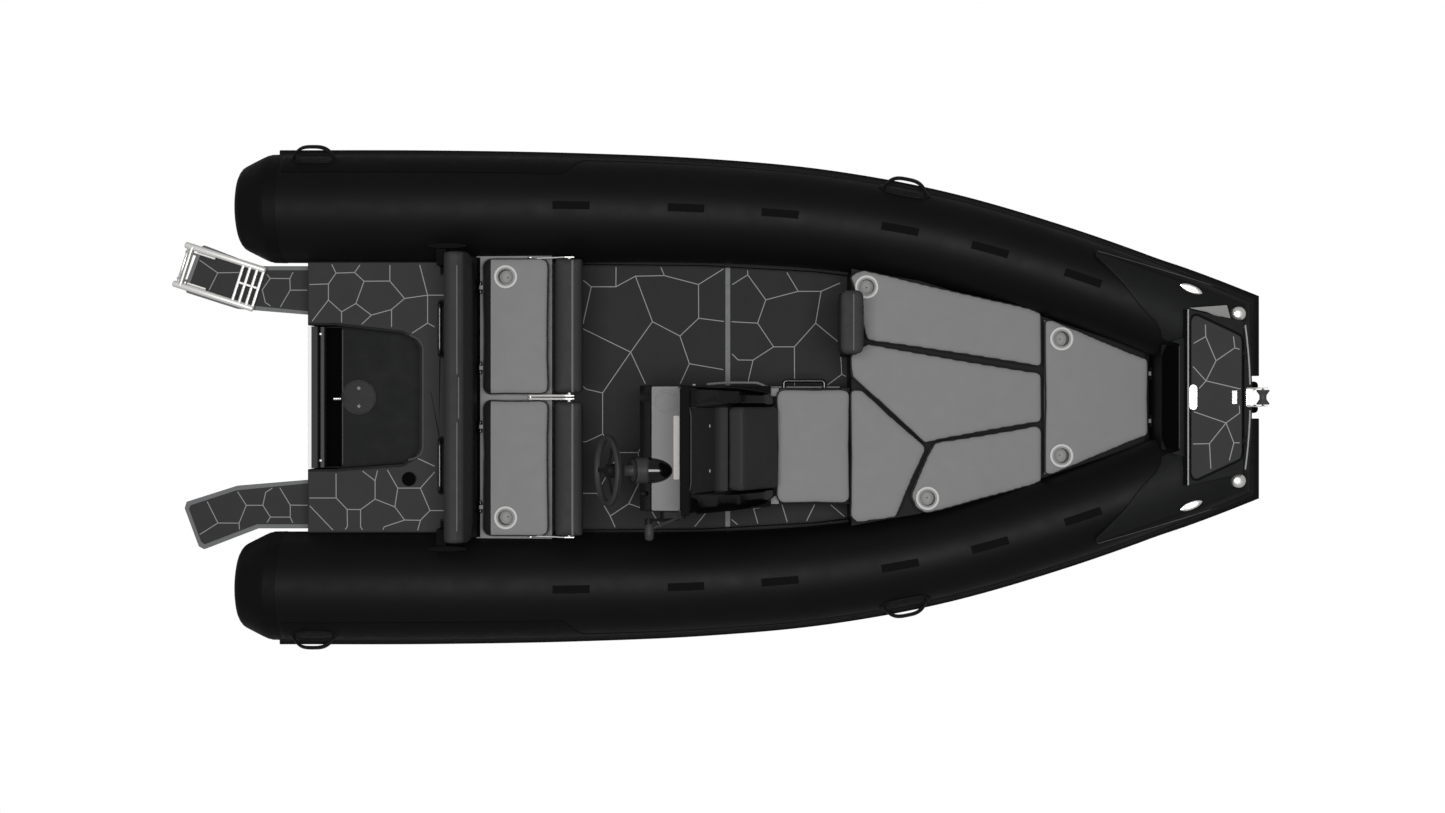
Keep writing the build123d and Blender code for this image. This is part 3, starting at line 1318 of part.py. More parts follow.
# Anchor locker lid with its knuckles and finger pull, and its foam pad
pull_x = 2299.0
anchor_leaf_l = 16.0
anchor_leaf_sunk = 2.0
anchor_leaf_back = 8.0
anchor_leaf_nose = 3.0
anchor_leaf_up = 1.0
with BuildPart() as anchor_lid:
    with BuildSketch(Plane.XY.offset(tray_top)):
        Polygon(*(lid_outline + list(reversed(mirrored(lid_outline)))), align=None)
    extrude(amount=lid_t)
    for hinge_y in anchor_hinges_y:
        with BuildSketch(Plane.XZ.offset(-hinge_y - knuckle_half)):
            with Locations((anchor_hinge_x, anchor_hinge_z)):
                Circle(anchor_knuckle_r)
            Polygon(
                (anchor_hinge_x - anchor_leaf_l, tray_top + lid_t - anchor_leaf_sunk),
                (lid_outline[1][0], tray_top + lid_t - anchor_leaf_sunk),
                (lid_outline[1][0] + anchor_leaf_nose, tray_top + lid_t + anchor_leaf_up),
                (anchor_hinge_x, anchor_hinge_z), (anchor_hinge_x - anchor_leaf_back, anchor_hinge_z),
                align=None,
            )
        extrude(amount=2 * knuckle_half)
        with BuildSketch(Plane.XZ.offset(-hinge_y - knuckle_half)):
            with Locations((anchor_hinge_x, anchor_hinge_z)):
                Circle(hinge_pin_r + pin_fit)
        extrude(amount=2 * knuckle_half, mode=Mode.SUBTRACT)
anchor_lid.part.label = "anchor_lid"
export_step(anchor_lid.part, "parts/anchor_lid.step")

pull_l = 122.0
pull_w = 38.0
pull_t = 4.0
pull_gap = 3.0
dish_l = 96.0
dish_w = 24.0
dish_floor_t = 1.5
with BuildPart() as anchor_lid_pad:
    with BuildSketch(Plane.XY.offset(tray_top + lid_t)):
        Polygon(*(anchor_pad_outline + list(reversed(mirrored(anchor_pad_outline)))), align=None)
        with Locations((pull_x, 0)):
            SlotOverall(pull_l + 2 * pull_gap, pull_w + 2 * pull_gap, rotation=90, mode=Mode.SUBTRACT)
    extrude(amount=anchor_pad_t)
anchor_lid_pad.part.label = "anchor_lid_pad"
export_step(anchor_lid_pad.part, "parts/anchor_lid_pad.step")

# Polished finger pull of the anchor lid
with BuildPart() as anchor_latch:
    with BuildSketch(Plane.XY.offset(tray_top + lid_t)):
        with Locations((pull_x, 0)):
            SlotOverall(pull_l, pull_w, rotation=90)
    extrude(amount=pull_t)
    with BuildSketch(Plane.XY.offset(tray_top + lid_t + dish_floor_t)):
        with Locations((pull_x, 0)):
            SlotOverall(dish_l, dish_w, rotation=90)
    extrude(amount=pull_t, mode=Mode.SUBTRACT)
anchor_latch.part.label = "anchor_latch"
export_step(anchor_latch.part, "parts/anchor_latch.step")

# Navigation light housings and flush cleats on the shoulders of the foredeck
nav_x = 2537.0
nav_y = 410.0
nav_r = 34.0
nav_top = 898.0
nav_soft = 8.0
with BuildPart() as nav_lights:
    for side in (-1, 1):
        with BuildSketch(Plane.XY.offset(foredeck_low)):
            with Locations((nav_x, side * nav_y)):
                Circle(nav_r)
        extrude(amount=nav_top - foredeck_low)
    fillet(nav_lights.faces().filter_by(Axis.Z).sort_by(Axis.Z)[-2:].edges(), nav_soft)
    add(foredeck_kept.part, mode=Mode.SUBTRACT)
    add(anchor_locker_kept.part, mode=Mode.SUBTRACT)
    add(port_seat, mode=Mode.SUBTRACT)
    add(starboard_seat, mode=Mode.SUBTRACT)
    add(bow_seat, mode=Mode.SUBTRACT)
nav_tops = sorted(nav_lights.part.solids(), key=lambda piece: -piece.center().Z)[:2]
with BuildPart() as nav_lights_kept:
    for piece in nav_tops:
        add(piece)
nav_lights_kept.part.label = "nav_lights"
export_step(nav_lights_kept.part, "parts/nav_lights.step")

flush_x = 2317.0
flush_y = 533.0
flush_z = 812.0
flush_yaw = -21.0
flush_lean = 32.0
flush_l = 118.0
flush_w = 46.0
flush_round = 16.0
flush_h = 34.0
flush_sunk = 20.0
flush_plane = Plane(origin=(flush_x, flush_y, flush_z)).rotated((0, 0, flush_yaw)).rotated((-flush_lean, 0, 0))
with BuildPart() as flush_cleats:
    with BuildSketch(flush_plane.offset(-flush_sunk)):
        RectangleRounded(flush_l, flush_w, flush_round)
    extrude(amount=flush_h)
    add(mirror(flush_cleats.part, about=Plane.XZ))
    add(foredeck_kept.part, mode=Mode.SUBTRACT)
    add(port_seat, mode=Mode.SUBTRACT)
    add(starboard_seat, mode=Mode.SUBTRACT)
flush_tops = sorted(flush_cleats.part.solids(), key=lambda piece: -piece.center().Z)[:2]
with BuildPart() as flush_cleats_kept:
    for piece in flush_tops:
        add(piece)
flush_cleats_kept.part.label = "flush_cleats"
export_step(flush_cleats_kept.part, "parts/flush_cleats.step")

# Anchor bracket with two cheeks and a pin, and the roller that turns on it
roller_x = 2632.0
roller_z = 985.0
roller_pin_r = 6.0
cheek_y = 42.0
cheek_t = 5.0
cheek_outline = [
    (2556.0, tray_top + lid_t), (2600.0, tray_top + lid_t), (2650.0, 966.0), (2654.0, 1000.0),
    (2612.0, 1000.0), (2556.0, 972.0),
]
bridge_x = (2556.0, 2594.0)
bridge_t = 6.0
with BuildPart() as anchor_bracket:
    with BuildSketch(Plane.XY.offset(tray_top + lid_t)):
        with Locations((sum(bridge_x) / 2, 0)):
            Rectangle(bridge_x[1] - bridge_x[0], 2 * (cheek_y + cheek_t))
    extrude(amount=bridge_t)
    for start in (cheek_y + cheek_t, -cheek_y):
        with BuildSketch(Plane.XZ.offset(-start)):
            Polygon(*cheek_outline, align=None)
        extrude(amount=cheek_t)
    with BuildSketch(Plane.XZ.offset(-cheek_y - cheek_t)):
        with Locations((roller_x, roller_z)):
            Circle(roller_pin_r)
    extrude(amount=2 * (cheek_y + cheek_t))
anchor_bracket.part.label = "anchor_bracket"
export_step(anchor_bracket.part, "parts/anchor_bracket.step")

roller_half = 36.0
roller_bore_r = roller_pin_r + pin_fit
roller_profile = [
    (roller_half, roller_bore_r), (roller_half, 30.0), (30.0, 31.0), (10.0, 17.0), (-10.0, 17.0),
    (-30.0, 31.0), (-roller_half, 30.0), (-roller_half, roller_bore_r),
]
with BuildPart() as anchor_roller:
    with BuildSketch(Plane(origin=(roller_x, 0, roller_z), x_dir=(0, 1, 0), z_dir=(1, 0, 0))):
        Polygon(*roller_profile, align=None)
    revolve(axis=Axis((roller_x, 0, roller_z), (0, 1, 0)))
anchor_roller.part.label = "anchor_roller"
export_step(anchor_roller.part, "parts/anchor_roller.step")

# Foam deck pads: cockpit floor in two sheets, aft deck and swim platforms
joint_x = (17.0, 44.0)
pad_inset = 4.0
floor_row = [(row["x"], row["y"] - pad_inset) for row in cockpit_edge]


def edge_at(x):
    # Half width of the floor sheet at x, straight between the rows
    for low, high in zip(floor_row, floor_row[1:]):
        if low[0] <= x <= high[0]:
            return low[1] + (high[1] - low[1]) * (x - low[0]) / (high[0] - low[0])
    return floor_row[-1][1]


floor_sheets = [
    {"from": bench_front_x, "to": joint_x[0]},
    {"from": joint_x[1], "to": bow_base_x},
]
platform_pad_outline = [
    (-2172.0, 452.0), (-2555.0, 490.0), (-2795.0, 568.0), (-2803.0, 588.0), (-2740.0, 758.0),
    (-2722.0, 774.0), (-2446.0, 668.0), (-2172.0, 668.0),
]
aft_pad_half = 694.0
well_margin_x = well_front_x + 14.0
well_margin_outline = [
    (transom_x, 384.0), (slot_front_x, 384.0), (-1646.0, 344.0), (-1582.0, 310.0),
    (well_margin_x, 258.0), (well_margin_x, -268.0), (-1582.0, -320.0), (-1646.0, -358.0),
    (slot_front_x, -384.0), (transom_x, -384.0),
]
post_margin = 8.0
cleat_foot_x = bracket_aft_x + bracket_w / 2
cleat_foot_y = 664.0
cleat_foot_l = 58.0
cleat_foot_w = 72.0
with BuildPart() as deck_pads:
    for row in floor_sheets:
        inner = [pair for pair in floor_row if row["from"] < pair[0] < row["to"]]
        port_edge = [(row["from"], edge_at(row["from"]))] + inner + [(row["to"], edge_at(row["to"]))]
        with BuildSketch(Plane.XY.offset(sole_z)):
            Polygon(*(port_edge + list(reversed(mirrored(port_edge)))), align=None)
        extrude(amount=pad_h)
    with BuildSketch(Plane.XY.offset(deck_z)):
        with Locations(((transom_x + block_front_x) / 2, 0)):
            Rectangle(block_front_x - transom_x - 2 * pad_inset, 2 * aft_pad_half)
        Polygon(*well_margin_outline, align=None, mode=Mode.SUBTRACT)
        for side in (-1, 1):
            for post_y in grab_y:
                with Locations((grab_x, side * post_y)):
                    Circle(grab_r + post_margin, mode=Mode.SUBTRACT)
            with Locations((cleat_foot_x, side * cleat_foot_y)):
                Rectangle(cleat_foot_l, cleat_foot_w, mode=Mode.SUBTRACT)
    extrude(amount=pad_h)
    for side in (-1, 1):
        with BuildSketch(Plane.XY.offset(platform_z)):
            Polygon(*[(x, side * y) for x, y in platform_pad_outline], align=None)
        extrude(amount=pad_h)
deck_pads.part.label = "deck_pads"
export_step(deck_pads.part, "parts/deck_pads.step")

joint_half = 684.0
with BuildPart() as floor_joint:
    with BuildSketch(Plane.XY.offset(sole_z)):
        with Locations((sum(joint_x) / 2, 0)):
            Rectangle(joint_x[1] - joint_x[0], 2 * joint_half)
    extrude(amount=pad_h)
floor_joint.part.label = "floor_joint"
export_step(floor_joint.part, "parts/floor_joint.step")
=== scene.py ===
import json
import math
import bmesh
import bpy
import numpy as np
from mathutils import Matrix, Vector
from mathutils.bvhtree import BVHTree


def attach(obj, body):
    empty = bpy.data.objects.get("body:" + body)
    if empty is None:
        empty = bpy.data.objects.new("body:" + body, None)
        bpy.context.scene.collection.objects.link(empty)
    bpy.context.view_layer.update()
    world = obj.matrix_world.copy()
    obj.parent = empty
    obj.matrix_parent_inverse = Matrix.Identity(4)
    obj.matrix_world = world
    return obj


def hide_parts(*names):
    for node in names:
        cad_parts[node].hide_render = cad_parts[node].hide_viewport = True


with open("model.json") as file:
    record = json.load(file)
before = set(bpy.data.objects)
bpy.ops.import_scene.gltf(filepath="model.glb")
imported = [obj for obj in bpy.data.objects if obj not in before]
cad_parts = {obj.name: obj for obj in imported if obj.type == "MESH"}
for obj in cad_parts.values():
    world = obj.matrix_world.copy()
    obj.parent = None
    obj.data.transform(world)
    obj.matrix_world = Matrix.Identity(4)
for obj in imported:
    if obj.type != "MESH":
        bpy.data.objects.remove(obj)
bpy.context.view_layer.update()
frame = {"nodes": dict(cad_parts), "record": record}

nodes = frame["nodes"]
scene = bpy.context.scene
print("stage: frame loaded")

# Colours and shader nodes


def linearColour(hexText):
    # The hex value's three channels from screen values to linear light
    channel = np.array([int(hexText[at:at + 2], 16) / 255 for at in (1, 3, 5)])
    linear = np.where(channel <= 0.04045, channel / 12.92, ((channel + 0.055) / 1.055) ** 2.4)
    return (*linear.tolist(), 1.0)


def addNode(tree, kind, inputs=None, **settings):
    # One shader node with its settings, its inputs given as values or as sockets to link
    node = tree.nodes.new(kind)
    for key, value in settings.items():
        setattr(node, key, value)
    for key, value in (inputs or {}).items():
        if isinstance(value, bpy.types.NodeSocket):
            tree.links.new(value, node.inputs[key])
        else:
            node.inputs[key].default_value = value
    return node


def newMaterial(name, colour, **constants):
    # A material whose plain values sit on the shader's own sockets
    material = bpy.data.materials.new(name)
    material.use_nodes = True
    tree = material.node_tree
    shader = tree.nodes["Principled BSDF"]
    shader.inputs["Base Color"].default_value = linearColour(colour)
    for key, value in constants.items():
        shader.inputs[key.replace("_", " ")].default_value = value
    place = addNode(tree, "ShaderNodeTexCoord").outputs["Object"]
    return material, tree, shader, place


def addGrain(tree, shader, place, grain, depth, stretch=(1, 1, 1), detail=3.0):
    # Fine relief: noise of that grain size, in metres, as a bump of that depth
    spread = addNode(tree, "ShaderNodeMapping", {"Vector": place, "Scale": stretch})
    noise = addNode(tree, "ShaderNodeTexNoise",
                    {"Vector": spread.outputs[0], "Scale": 1 / grain, "Detail": detail})
    below = shader.inputs["Normal"].links
    inputs = {"Height": noise.outputs["Fac"], "Distance": depth, "Strength": 1.0}
    if below:
        inputs["Normal"] = below[0].from_socket
    bump = addNode(tree, "ShaderNodeBump", inputs)
    tree.links.new(bump.outputs[0], shader.inputs["Normal"])
    return noise


def mixTones(tree, share, low, high):
    # Two colours, the second taking over as the share goes from 0 to 1
    mix = addNode(tree, "ShaderNodeMix", {"Factor": share}, data_type="RGBA")
    mix.inputs[6].default_value = linearColour(low)
    mix.inputs[7].default_value = linearColour(high)
    return mix


def addTones(tree, shader, place, size, low, high):
    # Two close tones of one colour in broad soft clouds of that size
    noise = addNode(tree, "ShaderNodeTexNoise", {"Vector": place, "Scale": 1 / size, "Detail": 2.0})
    mix = mixTones(tree, noise.outputs["Fac"], low, high)
    tree.links.new(mix.outputs[2], shader.inputs["Base Color"])
    return mix


def addStep(tree, place, axis, start, end, low=0.0, high=1.0):
    # A value that goes straight from low to high between two places on one axis, and stays level beyond them
    axes = addNode(tree, "ShaderNodeSeparateXYZ", {"Vector": place})
    step = addNode(tree, "ShaderNodeMapRange", {"Value": axes.outputs[axis], "From Min": start, "From Max": end,
                                                "To Min": low, "To Max": high})
    return step.outputs[0]


def addSplitAtX(tree, shader, place, trim, aft, forward):
    # One colour aft of a line across the boat and another forward of it; on the bench cushion and the bow seat the
    # darker side is painted shade
    share = addStep(tree, place, "X", trim["splitX"] - trim["blend"], trim["splitX"] + trim["blend"])
    mix = mixTones(tree, share, aft, forward)
    tree.links.new(mix.outputs[2], shader.inputs["Base Color"])
    return share


def addWear(tree, shader, place, size, low, high):
    # Roughness that wanders between two values, from handling and rinsing
    noise = addNode(tree, "ShaderNodeTexNoise", {"Vector": place, "Scale": 1 / size, "Detail": 4.0})
    span = addNode(tree, "ShaderNodeMapRange",
                   {"Value": noise.outputs["Fac"], "From Min": 0.3, "From Max": 0.7, "To Min": low, "To Max": high})
    tree.links.new(span.outputs[0], shader.inputs["Roughness"])


# Coated fabric of the air tubes: synthetic rubber calendered on a woven base and glued in gores,
# so it shows a soft wide sheen, a faint weave and slow waves where the gores pull
tubeFabric, tree, shader, place = newMaterial("tubeFabric", "#0d0d0e", Specular_IOR_Level=0.08)
addTones(tree, shader, place, 0.35, "#0b0b0c", "#0f0f10")
addWear(tree, shader, place, 0.12, 0.46, 0.54)
addGrain(tree, shader, place, 0.16, 0.0006, detail=1.0)
addGrain(tree, shader, place, 0.0016, 0.00012)

# Doubler and seam tape: the same cloth laid on as a second skin, duller from the roller's texture
tapeFabric, tree, shader, place = newMaterial("tapeFabric", "#0b0b0c", Specular_IOR_Level=0.07)
addWear(tree, shader, place, 0.05, 0.50, 0.60)
addGrain(tree, shader, place, 0.0022, 0.00025)

# Non-slip grip patch: rubber with a pressed diamond knurl, which kills the tube's sheen
gripRubber, tree, shader, place = newMaterial("gripRubber", "#070707", Roughness=0.85, Specular_IOR_Level=0.1)
knurl = addNode(tree, "ShaderNodeTexVoronoi", {"Vector": place, "Scale": 220.0}, feature="F1")
bump = addNode(tree, "ShaderNodeBump", {"Height": knurl.outputs["Distance"], "Distance": 0.0012})
tree.links.new(bump.outputs[0], shader.inputs["Normal"])

# Extruded rubber of the rubbing strake: pushed through a die, so it has long faint lines and satin ridges
strakeRubber, tree, shader, place = newMaterial("strakeRubber", "#0d0d0e", Specular_IOR_Level=0.08)
addWear(tree, shader, place, 0.03, 0.46, 0.62)
addGrain(tree, shader, place, 0.004, 0.0002, stretch=(0.1, 1, 1))

# Hull paint: two-pack enamel over aluminium plate, smooth with a shallow ripple from the plate
hullPaint, tree, shader, place = newMaterial("hullPaint", "#1c1c1e", Roughness=0.45, Specular_IOR_Level=0.08)
addGrain(tree, shader, place, 0.22, 0.0008, detail=1.0)

# Dark deck moulding: pigmented gelcoat off a satin mould, with faint orange peel
deckMoulding, tree, shader, place = newMaterial("deckMoulding", "#1b1b1c", Specular_IOR_Level=0.06)
addTones(tree, shader, place, 0.2, "#191a1a", "#1d1d1e")
addWear(tree, shader, place, 0.08, 0.50, 0.60)
addGrain(tree, shader, place, 0.003, 0.00008)

# Light grey moulding: the same gelcoat in pale grey, on the bench frame, the dash and the lids
lightMoulding, tree, shader, place = newMaterial("lightMoulding", "#7c7c7d", Specular_IOR_Level=0.12)
addTones(tree, shader, place, 0.2, "#79797a", "#7f7f80")
addWear(tree, shader, place, 0.08, 0.48, 0.58)
addGrain(tree, shader, place, 0.003, 0.00008)

# Closed-cell foam decking: sheet foam brushed for grip, matt, with fine streaks along the boat;
# the cockpit's sheets carry painted shade: they are painted darker than those at the ends, where the tubes and seats
# shade the floor
foamPad, tree, shader, place = newMaterial("foamPad", "#363637", Roughness=0.92, Specular_IOR_Level=0.1)
clouds = addTones(tree, shader, place, 0.09, "#363637", "#3b3b3c")
cockpitPaintedShade = {"aftEnd": -1.30, "forwardEnd": 1.60, "blend": 0.10, "shade": 0.76}
fromAft = addStep(tree, place, "X", cockpitPaintedShade["aftEnd"], cockpitPaintedShade["aftEnd"] + cockpitPaintedShade["blend"],
                  1.0, cockpitPaintedShade["shade"])
fromBow = addStep(tree, place, "X", cockpitPaintedShade["forwardEnd"], cockpitPaintedShade["forwardEnd"] + cockpitPaintedShade["blend"])
tone = addNode(tree, "ShaderNodeMath", {0: fromAft, 1: fromBow}, operation="MAXIMUM")
shaded = addNode(tree, "ShaderNodeVectorMath", {0: clouds.outputs[2], "Scale": tone.outputs[0]}, operation="SCALE")
tree.links.new(shaded.outputs[0], shader.inputs["Base Color"])
addGrain(tree, shader, place, 0.0015, 0.0005, stretch=(0.15, 1, 1))
shader.inputs["Sheen Weight"].default_value = 0.08

# Routed line of the decking: the cutter bares the pale lower layer of the foam
foamLine, tree, shader, place = newMaterial("foamLine", "#969696", Roughness=0.9, Specular_IOR_Level=0.1)

# Light marine vinyl: embossed with a fine leather grain under a matt lacquer, slightly silky
lightVinyl, tree, shader, place = newMaterial("lightVinyl", "#7c7c7d", Specular_IOR_Level=0.12)
addTones(tree, shader, place, 0.25, "#7a7a7b", "#7e7e7f")
addWear(tree, shader, place, 0.06, 0.50, 0.62)
addGrain(tree, shader, place, 0.0012, 0.00025)
addGrain(tree, shader, place, 0.10, 0.0012, detail=1.0)

# Dark marine vinyl: the same cloth in charcoal, on the backrests and the bolsters
darkVinyl, tree, shader, place = newMaterial("darkVinyl", "#333334", Specular_IOR_Level=0.08)
addTones(tree, shader, place, 0.25, "#323233", "#353536")
addWear(tree, shader, place, 0.06, 0.48, 0.60)
addGrain(tree, shader, place, 0.0012, 0.00025)
addGrain(tree, shader, place, 0.09, 0.0012, detail=1.0)

# Rear backrest cover: the dark vinyl with painted shade: its front face painted darker forward of the split, and near
# black below the roll where shade falls under it
rearTrim = {"splitX": -1.3150, "blend": 0.002, "underShadeTop": 0.66, "underShadeBlend": 0.01}
rearVinyl, tree, shader, place = newMaterial("rearVinyl", "#2b2b2c", Specular_IOR_Level=0.08)
front = addStep(tree, place, "X", rearTrim["splitX"] - rearTrim["blend"], rearTrim["splitX"] + rearTrim["blend"])
above = addStep(tree, place, "Z", rearTrim["underShadeTop"] - rearTrim["underShadeBlend"],
                rearTrim["underShadeTop"] + rearTrim["underShadeBlend"])
faceShade = mixTones(tree, front, "#343435", "#2a2a2b")
underShade = mixTones(tree, above, "#070708", "#2a2a2b")
tree.links.new(faceShade.outputs[2], underShade.inputs[7])
tree.links.new(underShade.outputs[2], shader.inputs["Base Color"])
addWear(tree, shader, place, 0.06, 0.48, 0.60)
addGrain(tree, shader, place, 0.0012, 0.00025)
addGrain(tree, shader, place, 0.09, 0.0012, detail=1.0)

# Bench cushion cover: light vinyl with painted shade along its aft edge beside the backrest, a near-black strip with
# its sheen turned down
benchAftShade = {"splitX": -1.1785, "blend": 0.0006, "shadeGloss": 0.03, "panelGloss": 0.12}
benchVinyl, tree, shader, place = newMaterial("benchVinyl", "#7c7c7d")
side = addSplitAtX(tree, shader, place, benchAftShade, "#171718", "#7c7c7d")
gloss = addNode(tree, "ShaderNodeMapRange", {"Value": side, "From Min": 0.0, "From Max": 1.0,
                                             "To Min": benchAftShade["shadeGloss"], "To Max": benchAftShade["panelGloss"]})
tree.links.new(gloss.outputs[0], shader.inputs["Specular IOR Level"])
addWear(tree, shader, place, 0.06, 0.50, 0.62)
addGrain(tree, shader, place, 0.0012, 0.00025)
addGrain(tree, shader, place, 0.10, 0.0012, detail=1.0)

# Pale piping: extruded vinyl cord sewn into the seams, paler and glossier than the cover, standing also as painted
# highlight along the edges it follows
paleWeltAndHighlight, tree, shader, place = newMaterial("paleWeltAndHighlight", "#6a6a6b", Roughness=0.42, Specular_IOR_Level=0.2)

# Dark piping: the same cord in charcoal round the light cushions
darkPiping, tree, shader, place = newMaterial("darkPiping", "#242425", Roughness=0.45, Specular_IOR_Level=0.12)

# Polished stainless steel: tube and plate buffed to a mirror, with fine polishing scratches
stainless, tree, shader, place = newMaterial("stainless", "#dcdbd8", Metallic=0.8)
addWear(tree, shader, place, 0.02, 0.18, 0.30)
addGrain(tree, shader, place, 0.004, 0.00002)

# Grey powder-coated aluminium: baked powder, satin with a pebbled skin, on platforms and trims
paintedAluminium, tree, shader, place = newMaterial("paintedAluminium", "#6a6b6c", Specular_IOR_Level=0.15)
addWear(tree, shader, place, 0.03, 0.42, 0.54)
addGrain(tree, shader, place, 0.0018, 0.00012)

# Matt black plastic: injection moulded with an etched texture, on wheel, lever and caps
blackPlastic, tree, shader, place = newMaterial("blackPlastic", "#171718", Specular_IOR_Level=0.10)
addWear(tree, shader, place, 0.02, 0.44, 0.58)
addGrain(tree, shader, place, 0.0011, 0.00012)

# Gloss black moulding: polished acrylic-capped plastic of the console's cheeks and cowls
glossBlack, tree, shader, place = newMaterial("glossBlack", "#060607", Roughness=0.12, Specular_IOR_Level=0.35)
addGrain(tree, shader, place, 0.05, 0.0003, detail=1.0)

# Smoked acrylic of the windscreen: cast sheet dyed dark grey, clear enough to see shapes through
smokedAcrylic, tree, shader, place = newMaterial(
    "smokedAcrylic", "#2a2b2c", Roughness=0.05, IOR=1.49, Transmission_Weight=0.75)

# Beige switch panel: moulded plastic with a soft satin surface
panelBeige, tree, shader, place = newMaterial("panelBeige", "#cdc9c4", Specular_IOR_Level=0.12)
addWear(tree, shader, place, 0.01, 0.36, 0.50)

# White cup ring: glossy moulded plastic
whiteRing, tree, shader, place = newMaterial("whiteRing", "#bdbdbb", Roughness=0.40, Specular_IOR_Level=0.2)

# Grey cup tub: the same plastic in mid grey
cupPlastic, tree, shader, place = newMaterial("cupPlastic", "#8b8b8a", Roughness=0.5, Specular_IOR_Level=0.12)

# Coated tube: steel tube dipped in black vinyl, which leaves a thick satin skin
coatedTube, tree, shader, place = newMaterial("coatedTube", "#0e0e0f", Roughness=0.22, Specular_IOR_Level=0.5)

# Cast cleats and hinges: black anodised aluminium, bead blasted first, so it stays deep and dull
blackCasting, tree, shader, place = newMaterial("blackCasting", "#080809", Roughness=0.62, Specular_IOR_Level=0.04)
addGrain(tree, shader, place, 0.0015, 0.0001)

# Grey edge trim: extruded vinyl bead pressed over the edges of the mouldings; the same grey also draws lines of painted
# highlight along the well's edges and the screen's frame
greyTrimAndHighlight, tree, shader, place = newMaterial("greyTrimAndHighlight", "#48484a", Roughness=0.5, Specular_IOR_Level=0.06)

# Screen cover: vacuum-formed dark sheet over the console's forward side, satin from the grained mould
coverSheet, tree, shader, place = newMaterial("coverSheet", "#2b2b2c", Specular_IOR_Level=0.06)
addWear(tree, shader, place, 0.05, 0.44, 0.54)
addGrain(tree, shader, place, 0.0014, 0.00008)

# Wheel rim: soft polyurethane moulded over a steel ring, rubbed satin by hands
wheelGrip, tree, shader, place = newMaterial("wheelGrip", "#383839", Specular_IOR_Level=0.12)
addWear(tree, shader, place, 0.03, 0.40, 0.55)
addGrain(tree, shader, place, 0.0012, 0.0001)

# Bench fittings: black hinges aft, polished steel arms forward of the lids
hingeTrim = {"splitX": -1.200, "blend": 0.005, "metal": 0.8}
hingeMetal, tree, shader, place = newMaterial("hingeMetal", "#dcdbd8", Roughness=0.24)
forward = addSplitAtX(tree, shader, place, hingeTrim, "#0b0b0c", "#dcdbd8")
shine = addNode(tree, "ShaderNodeMath", {0: forward, 1: hingeTrim["metal"]}, operation="MULTIPLY")
tree.links.new(shine.outputs[0], shader.inputs["Metallic"])

# Transom panel: white gelcoat, with the aft deck's foam sheet laid over its forward edge
transomTrim = {"splitX": -2.122, "blend": 0.001}
transomPanel, tree, shader, place = newMaterial("transomPanel", "#f2f2f2", Roughness=0.6, Specular_IOR_Level=0.1)
addSplitAtX(tree, shader, place, transomTrim, "#f2f2f2", "#363637")

# Satin steel: stainless bead blasted and passivated, which scatters the light to a pale even grey
satinSteel, tree, shader, place = newMaterial("satinSteel", "#e6e5e2", Metallic=0.3, Roughness=0.45)

# Bow seat moulding: the dark deck moulding, with the locker's forward wall painted near black, painted shade in the
# recess ahead of the locker cushion
seatRecessShade = {"splitX": 2.1575, "blend": 0.0025}
seatMoulding, tree, shader, place = newMaterial("seatMoulding", "#1b1b1c", Specular_IOR_Level=0.06, Roughness=0.55)
addSplitAtX(tree, shader, place, seatRecessShade, "#1b1b1c", "#0a0a0a")

# Bright edge: a pale colour of painted highlight where the locker frame's edges and its port slope catch the light
paintedEdgeHighlight, tree, shader, place = newMaterial("paintedEdgeHighlight", "#969695", Roughness=0.4, Specular_IOR_Level=0.15)

# Black rubber: soft sheet that takes nearly all the light, on the filler cap and the roller's lobes; the same black
# also makes the sheets of painted shade in the transom slot, the bench's gap and over the bulkhead
blackRubberAndShade, tree, shader, place = newMaterial("blackRubberAndShade", "#060606", Roughness=0.8, Specular_IOR_Level=0.02)

# Hatch plate: injection-moulded plate, its grey lighter than the well around it
hatchPlastic, tree, shader, place = newMaterial("hatchPlastic", "#343435", Specular_IOR_Level=0.06)
addWear(tree, shader, place, 0.02, 0.50, 0.62)

slotMaterials = {
    "tube_fabric": tubeFabric, "strake_rubber": strakeRubber, "hull_paint": hullPaint,
    "deck_moulding": deckMoulding, "foam_pad": foamPad, "light_moulding": lightMoulding,
    "light_upholstery": lightVinyl, "dark_upholstery": darkVinyl, "stainless": stainless,
    "aluminium_grey": paintedAluminium, "black_plastic": blackPlastic, "screen": smokedAcrylic,
    "panel_beige": panelBeige, "white_ring": whiteRing,
}
slotOf = {row["node"]: row["material_slot"] for row in frame["record"]["subparts"]}
nodeMaterials = {
    "transom_plate": transomPanel, "grab_rails": coatedTube, "horn_cleats": blackCasting, "bow_hinges": blackCasting,
    "bench_fittings": hingeMetal, "bolster_arms_port": satinSteel, "bolster_arms_starboard": satinSteel,
    "windscreen_rail": blackCasting, "anchor_roller": greyTrimAndHighlight, "bow_seat_base": seatMoulding,
}
softEdges = {"bevel": 0.0025, "segments": 2, "angle": 28.0, "weld": 0.00002}
roundNodes = ("port_tube", "starboard_tube", "bow_tube", "tube_end_cones", "grab_rails", "anchor_roller")
